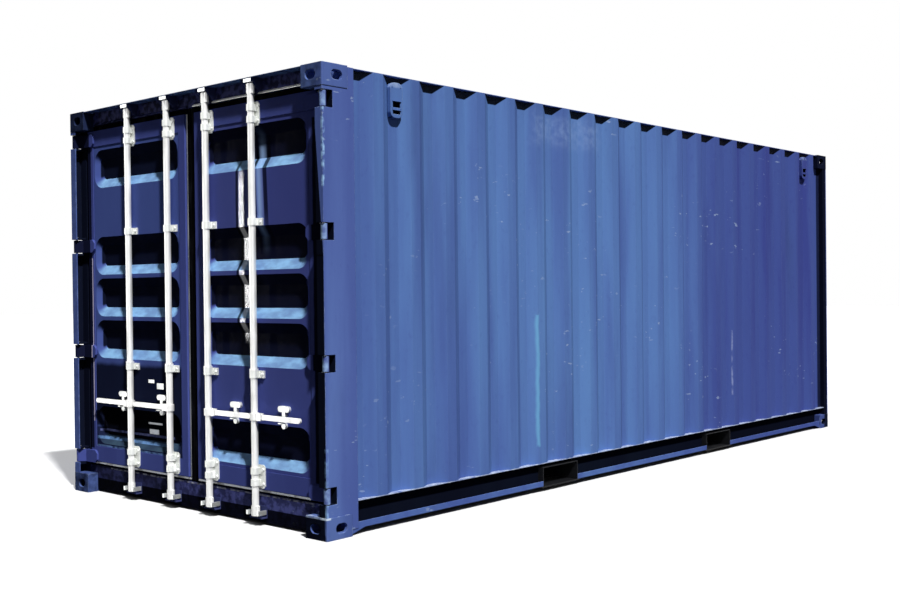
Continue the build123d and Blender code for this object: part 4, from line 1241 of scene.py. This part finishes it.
@dataclass
class Skeleton(SubAssembly):
    """The castings, posts, rails, header and sill that carry the container."""

    header_front: float = -2.957
    header_foot: float = 2.350
    drip_start: float = 0.030
    drip_end: float = 1.035
    drip_reach: float = 0.012
    drip_height: float = 0.014
    drip_lip: float = 0.002
    drip_notch: float = 0.026
    rod_places: Pair = ROD_PLACES
    roof_top: float = 2.432
    doubler_size: Pair = (0.150, 0.150)
    doubler_inset: Pair = (0.162, 0.178)
    doubler_steel: float = 0.003

    def build(self) -> None:
        """Dress the frame members and add drip strip and roof doublers."""
        self.dress("casting", "corner_castings_top", "corner_castings_bottom")
        self.dress("frame", "door_post_right", "door_post_left", "front_post_right", "front_post_left")
        self.dress("frame", "front_top_rail", "front_bottom_rail", "top_rail_right", "top_rail_left")
        self.dress("rail", "bottom_rail_right", "bottom_rail_left")
        self.dress("end_frame", "door_header", "door_sill")
        self.drip_strip()
        self.roof_doublers()
        self.report()

    def drip_strip(self) -> None:
        """A thin folded strip that throws rain off the doors, cut out behind the rods' cams."""
        foot, front = self.header_foot, self.header_front
        outline = (
            (front, foot),
            (front, foot + self.drip_height),
            (front - self.drip_reach, foot + self.drip_lip),
            (front - self.drip_reach, foot),
        )
        edges = [self.drip_start]
        for place in self.rod_places:
            edges += [place - self.drip_notch, place + self.drip_notch]
        edges.append(self.drip_end)
        # The right strip is pale bare zinc, which also stands as a painted highlight along the header's lower
        # edge; the left one is enamelled.
        kinds = {
            Side.RIGHT: ("header_drip_strip", "fittings", "galvanised_steel"),
            Side.LEFT: ("header_drip_strip_left", "end_frame", "frame_paint"),
        }
        for side, (name, finish, slot) in kinds.items():
            mesh = bmesh.new()
            for first, last in zip(edges[::2], edges[1::2]):
                low, high = sorted((side.value * first, side.value * last))
                Workshop.prism(mesh, outline, low, high)
            self.add(name, mesh, finish, slot)

    def roof_doublers(self) -> None:
        """Extra plates beside the top castings that spare the roof from lifting gear."""
        mesh = bmesh.new()
        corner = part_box("corner_castings_top")[1]
        out, far = (corner[axis] - self.doubler_inset[axis] for axis in (0, 1))
        width, length = self.doubler_size
        top = self.roof_top + self.doubler_steel
        for side in Side:
            low_x, high_x = sorted((side.value * (out - width), side.value * out))
            for end in (-1, 1):
                low_y, high_y = sorted((end * far, end * far - end * length))
                Workshop.bar(mesh, (low_x, low_y, self.roof_top), (high_x, high_y, top))
        self.add("roof_doublers", mesh, "frame", "frame_paint")


@dataclass
class Base(SubAssembly):
    """The deck, the cross members and the fork pockets."""

    deck_top: float = 0.182
    member_places: tuple[float, ...] = (0.14, 0.42, 0.70, 1.35, 1.636, 1.922, 2.208, 2.494, 2.78)
    screw_rows: tuple[float, ...] = (-1.05, -0.80, -0.53, -0.27, 0.0, 0.27, 0.53, 0.80, 1.05)
    screw_offset: float = 0.012
    screw_radius: float = 0.006
    screw_heights: Pair = (-0.0005, 0.0006)

    def build(self) -> None:
        """Dress the base and add the deck's screws."""
        self.dress("deck", "floor_boards")
        self.dress("base", "cross_members", "fork_pocket_sides", "fork_pocket_plates")
        self.deck_screws()
        self.report()

    def deck_screws(self) -> None:
        """Flush screw heads in rows over the cross members."""
        mesh = bmesh.new()
        steps = [(height, self.screw_radius) for height in self.screw_heights]
        for place in self.member_places:
            for y in (-place, place):
                for row in self.screw_rows:
                    for x in (row - self.screw_offset, row + self.screw_offset):
                        Workshop.stud(mesh, (x, y, self.deck_top), (0, 0, 1), steps, 8)
        self.add("deck_screws", mesh, "pins", "pin_steel")


@dataclass(frozen=True)
class Plate:
    """A small blank plate: its middle, its width and height, and the face of the sheet behind it."""

    x: float
    z: float
    width: float
    height: float
    back: float


@dataclass
class Door(SubAssembly):
    """One leaf with its hinges, seal, bearings and handle rests."""

    side: Side = Side.RIGHT
    centre_edge: float = 0.048
    hinge_edge: float = 1.105
    foot: float = 0.196
    head: float = 2.314
    face: float = -2.969
    rod_places: Pair = ROD_PLACES
    bracket_feet: Pair = (0.202, 2.178)
    bracket_height: float = 0.130
    bracket_steel: float = 0.006
    bolt_reaches: Pair = (0.045, 0.036)
    bolt_sizes: Pair = (0.016, 0.012)
    bolt_inset: float = 0.026
    guide_centres: Pair = (0.825, 1.655)
    guide_bolt_reach: float = 0.044
    guide_bolt_size: float = 0.014
    seal_front: float = -2.955
    strip_width: float = 0.012
    strip_steel: float = 0.002
    strip_gaps: Pair = (0.002, 0.004)
    strip_pitch: float = 0.15
    strip_rivet: float = 0.0035
    hinge_heights: tuple[float, ...] = (0.227, 0.903, 1.579, 2.255)
    blade_reach: Pair = (1.026, 1.105)
    blade_half_height: float = 0.040
    tail_cut: float = 0.020
    weld_radius: float = 0.0035
    weld_clear: float = 0.002
    plates: tuple[Plate, ...] = ()
    dull_plates: tuple[Plate, ...] = ()
    plate_steel: float = 0.0015
    plate_rivet: float = 0.0025
    plate_rivet_inset: float = 0.006

    def build(self) -> None:
        """Dress the leaf and add its bolts, seal strips, welds and plates."""
        word = self.side.word
        self.body = f"{word}_door"
        self.dress(f"{word}_panel", f"door_panel_{word}")
        self.dress("leaf_frame", f"door_frame_{word}", f"door_hinges_{word}")
        self.dress("seal", f"door_gasket_{word}")
        self.dress("fittings", f"rod_brackets_{word}", f"handle_hasps_{word}")
        self.bearing_bolts()
        self.seal_strips()
        self.hinge_welds()
        if self.plates:
            self.blank_plates("bare_plates", self.plates, "fittings")
        if self.dull_plates:
            self.blank_plates("dull_plates", self.dull_plates, "pins")
        self.report()

    def bearing_bolt(self, mesh: Mesh, x: float, z: float, size: float) -> None:
        """Add one hexagon bolt on the front of a rod bearing.

        Args:
            mesh: The mesh that it is added to.
            x: Its place across the right leaf.
            z: Its height.
            size: Its width over the flats.
        """
        foot = (self.side.value * x, self.face - self.bracket_steel, z)
        Workshop.bolt(mesh, foot, FORWARD, size)

    def bearing_bolts(self) -> None:
        """Hexagon bolts at the corners of the rod bearings."""
        mesh = bmesh.new()
        for place in self.rod_places:
            for foot, reach, size in zip(self.bracket_feet, self.bolt_reaches, self.bolt_sizes):
                for x in (place - reach, place + reach):
                    for z in (foot + self.bolt_inset, foot + self.bracket_height - self.bolt_inset):
                        self.bearing_bolt(mesh, x, z, size)
            for centre in self.guide_centres:
                for x in (place - self.guide_bolt_reach, place + self.guide_bolt_reach):
                    self.bearing_bolt(mesh, x, centre, self.guide_bolt_size)
        self.add(f"bearing_bolts_{self.side.word}", mesh, "fittings", "galvanised_steel")

    def seal_strips(self) -> None:
        """Thin riveted strips that hold the rubber seal round the leaf."""
        mesh = bmesh.new()
        front = self.seal_front - self.strip_steel
        width = self.strip_width
        centre_gap, outer_gap = self.strip_gaps
        left, right, below = self.centre_edge - centre_gap, self.hinge_edge + outer_gap, self.foot - outer_gap
        bars = (
            ((left - width, self.foot), (left, self.head), True),
            ((right, self.foot), (right + width, self.head), True),
            ((left - width, below - width), (right + width, below), False),
        )
        for (low_x, low_z), (high_x, high_z), upright in bars:
            near, far = sorted((self.side.value * low_x, self.side.value * high_x))
            Workshop.bar(mesh, (near, front, low_z), (far, self.seal_front, high_z))
            length = (high_z - low_z) if upright else (high_x - low_x)
            count = int(length / self.strip_pitch)
            for index in range(count):
                along = (index + 0.5) * length / count
                x = (low_x + high_x) / 2 if upright else low_x + along
                z = low_z + along if upright else (low_z + high_z) / 2
                Workshop.rivet(mesh, (self.side.value * x, front, z), FORWARD, self.strip_rivet)
        self.add(f"seal_strips_{self.side.word}", mesh, "pins", "pin_steel")

    def hinge_welds(self) -> None:
        """Weld beads round the hinge blades."""
        mesh = bmesh.new()
        near, far = self.blade_reach
        cut = self.tail_cut
        floor = self.foot + self.weld_clear
        for number, centre in enumerate(self.hinge_heights):
            low, high = centre - self.blade_half_height, centre + self.blade_half_height
            path = [(far, high), (near + cut, high), (near, high - cut), (near, low + cut)]
            if low > self.foot:
                path += [(near + cut, low), (far, low)]
            else:
                path.append((near + low + cut - floor, floor))
            for step, (start, end) in enumerate(zip(path[:-1], path[1:])):
                first, last = ((self.side.value * x, self.face, z) for x, z in (start, end))
                Workshop.bead(mesh, first, last, self.weld_radius, number * 10 + step)
        self.add(f"hinge_welds_{self.side.word}", mesh, "leaf_frame", "door_paint")

    def blank_plates(self, name: str, plates: Iterable[Plate], finish: str) -> None:
        """Small blank plates riveted to the leaf.

        Args:
            name: What the piece is called, before the side.
            plates: The plates.
            finish: Their finish's name.
        """
        mesh = bmesh.new()
        for plate in plates:
            front = plate.back - self.plate_steel
            half, tall = plate.width / 2, plate.height / 2
            low, high = (plate.x - half, front, plate.z - tall), (plate.x + half, plate.back, plate.z + tall)
            Workshop.bar(mesh, low, high)
            reach = half - self.plate_rivet_inset
            for x in (plate.x - reach, plate.x + reach):
                Workshop.rivet(mesh, (x, front, plate.z), FORWARD, self.plate_rivet)
        self.add(f"{name}_{self.side.word}", mesh, finish, "galvanised_steel")


@dataclass
class LockingGear(SubAssembly):
    """Rods, handles, keepers and hinge pins."""

    def build(self) -> None:
        """Dress the locking gear."""
        for side in Side:
            for row in ("inner", "outer"):
                self.dress("rods", f"lock_rod_{row}_{side.word}", f"handle_{row}_{side.word}")
        self.dress("keepers", "cam_keepers")
        self.dress("pins", "hinge_pins")
        self.report()


@dataclass
class Studio:
    """A plain pale floor, a soft key light, a strip light for gloss and an even sky."""

    floor_half: float = 60.0
    floor_seen: Colour = (0.9, 0.9, 0.9, 1.0)
    floor_lit: Colour = (0.05, 0.05, 0.055, 1.0)
    key_way: Point = (0.58, -0.24, 0.78)
    key_strength: float = 4.4
    key_angle: float = 3.0
    back_way: Point = (-0.62, 0.48, 0.62)
    back_strength: float = 2.1
    back_angle: float = 40.0
    fill: float = 0.1
    strip_place: Point = (-5.36, -7.5, 1.75)
    strip_target: Point = (0.5, -2.969, 1.75)
    strip_size: Pair = (0.09, 3.5)
    strip_power: float = 200.0

    def build(self) -> None:
        """Build floor, sky and lamps."""
        self.floor()
        self.sky()
        self.far_lamp("key", self.key_way, self.key_strength, self.key_angle)
        self.far_lamp("back", self.back_way, self.back_strength, self.back_angle)
        self.strip()

    def floor(self) -> None:
        """A wide plain floor that keeps the shadow."""
        mesh = bmesh.new()
        bmesh.ops.create_grid(mesh, x_segments=8, y_segments=8, size=self.floor_half)
        sheet = ShaderSheet("studio_floor")
        pale = sheet.node("ShaderNodeBsdfDiffuse", inputs={"Color": self.floor_seen})
        dim = sheet.node("ShaderNodeBsdfDiffuse", inputs={"Color": self.floor_lit})
        mixed = sheet.node("ShaderNodeMixShader", inputs={0: sheet.watched(), 1: dim, 2: pale})
        sheet.end("ShaderNodeOutputMaterial", mixed)
        Workshop.piece("studio_floor", mesh, sheet.material)

    def sky(self) -> None:
        """White where it is seen, and a weak even fill on the object."""
        world = bpy.data.worlds.new("studio_sky")
        bpy.context.scene.world = world
        sheet = ShaderSheet("studio_sky", world)
        level = sheet.watched() * (1.0 - self.fill) + self.fill
        white = {"Color": (1.0, 1.0, 1.0, 1.0), "Strength": level}
        sheet.end("ShaderNodeOutputWorld", sheet.node("ShaderNodeBackground", inputs=white))

    @staticmethod
    def hang(lamp: bpy.types.Light, place: Point, back: Vector) -> bpy.types.Object:
        """Hang a lamp in the scene.

        Args:
            lamp: The lamp.
            place: Where it hangs.
            back: The direction that its back looks in.

        Returns:
            The lamp's object.
        """
        made = bpy.data.objects.new(lamp.name, lamp)
        made.location = place
        made.rotation_mode = "QUATERNION"
        made.rotation_quaternion = back.to_track_quat("Z", "Y")
        bpy.context.scene.collection.objects.link(made)
        return made

    def far_lamp(self, name: str, way: Point, strength: float, angle: float) -> None:
        """A distant soft lamp.

        Args:
            name: The lamp's name.
            way: The direction towards it.
            strength: Its strength.
            angle: How wide it looks, in degrees; wider is softer.
        """
        lamp = bpy.data.lights.new(name, "SUN")
        lamp.energy = strength
        lamp.angle = math.radians(angle)
        self.hang(lamp, STILL, Vector(way))

    def strip(self) -> None:
        """A tall narrow soft box that the doors' gloss picks up."""
        lamp = bpy.data.lights.new("strip", "AREA")
        lamp.shape = "RECTANGLE"
        lamp.size, lamp.size_y = self.strip_size
        lamp.energy = self.strip_power
        back = Vector(self.strip_place) - Vector(self.strip_target)
        self.hang(lamp, self.strip_place, back).visible_diffuse = False


@dataclass
class PhotoCamera:
    """The camera at the photograph's angle, with its turns in degrees and its lens in millimetres."""

    place: Point = (5.53495, -6.89358, 1.27436)
    heading: float = 41.85
    fall: float = 0.52
    roll: float = -0.63
    focal: float = 45.509
    sensor: float = 36.0
    sight: float = 200.0

    def build(self) -> None:
        """Create the camera and make it the scene's own."""
        turn, drop, roll = (math.radians(value) for value in (self.heading, self.fall, self.roll))
        ahead = Vector((-math.sin(turn) * math.cos(drop), math.cos(turn) * math.cos(drop), -math.sin(drop)))
        right = Vector((math.cos(turn), math.sin(turn), 0.0))
        up = right.cross(ahead)
        across = math.cos(roll) * right + math.sin(roll) * up
        above = -math.sin(roll) * right + math.cos(roll) * up
        data = bpy.data.cameras.new("photo_camera")
        data.sensor_fit = "HORIZONTAL"
        data.sensor_width = self.sensor
        data.lens = self.focal
        data.clip_end = self.sight
        made = bpy.data.objects.new("photo_camera", data)
        axes = Matrix((across, above, -ahead)).transposed().to_4x4()
        made.matrix_world = Matrix.Translation(self.place) @ axes
        bpy.context.scene.collection.objects.link(made)
        bpy.context.scene.camera = made


def main() -> None:
    """Build the scene in order and report each piece."""
    logging.basicConfig(level=logging.INFO, format="%(message)s")
    bpy.context.scene.view_settings.view_transform = "Standard"
    PhotoCamera().build()
    Studio().build()
    finishes = Finishes()
    Shell(finishes).build()
    Skeleton(finishes).build()
    Base(finishes).build()
    Door(finishes, side=Side.RIGHT).build()
    plates = (Plate(-0.424, 0.738, 0.062, 0.020, -2.965), Plate(-0.330, 0.712, 0.070, 0.036, -2.965))
    dull_plates = (Plate(-0.440, 0.476, 0.150, 0.012, -2.929), Plate(-0.452, 0.425, 0.100, 0.030, -2.929))
    Door(finishes, side=Side.LEFT, plates=plates, dull_plates=dull_plates).build()
    LockingGear(finishes).build()


if __name__ == "__main__":
    main()
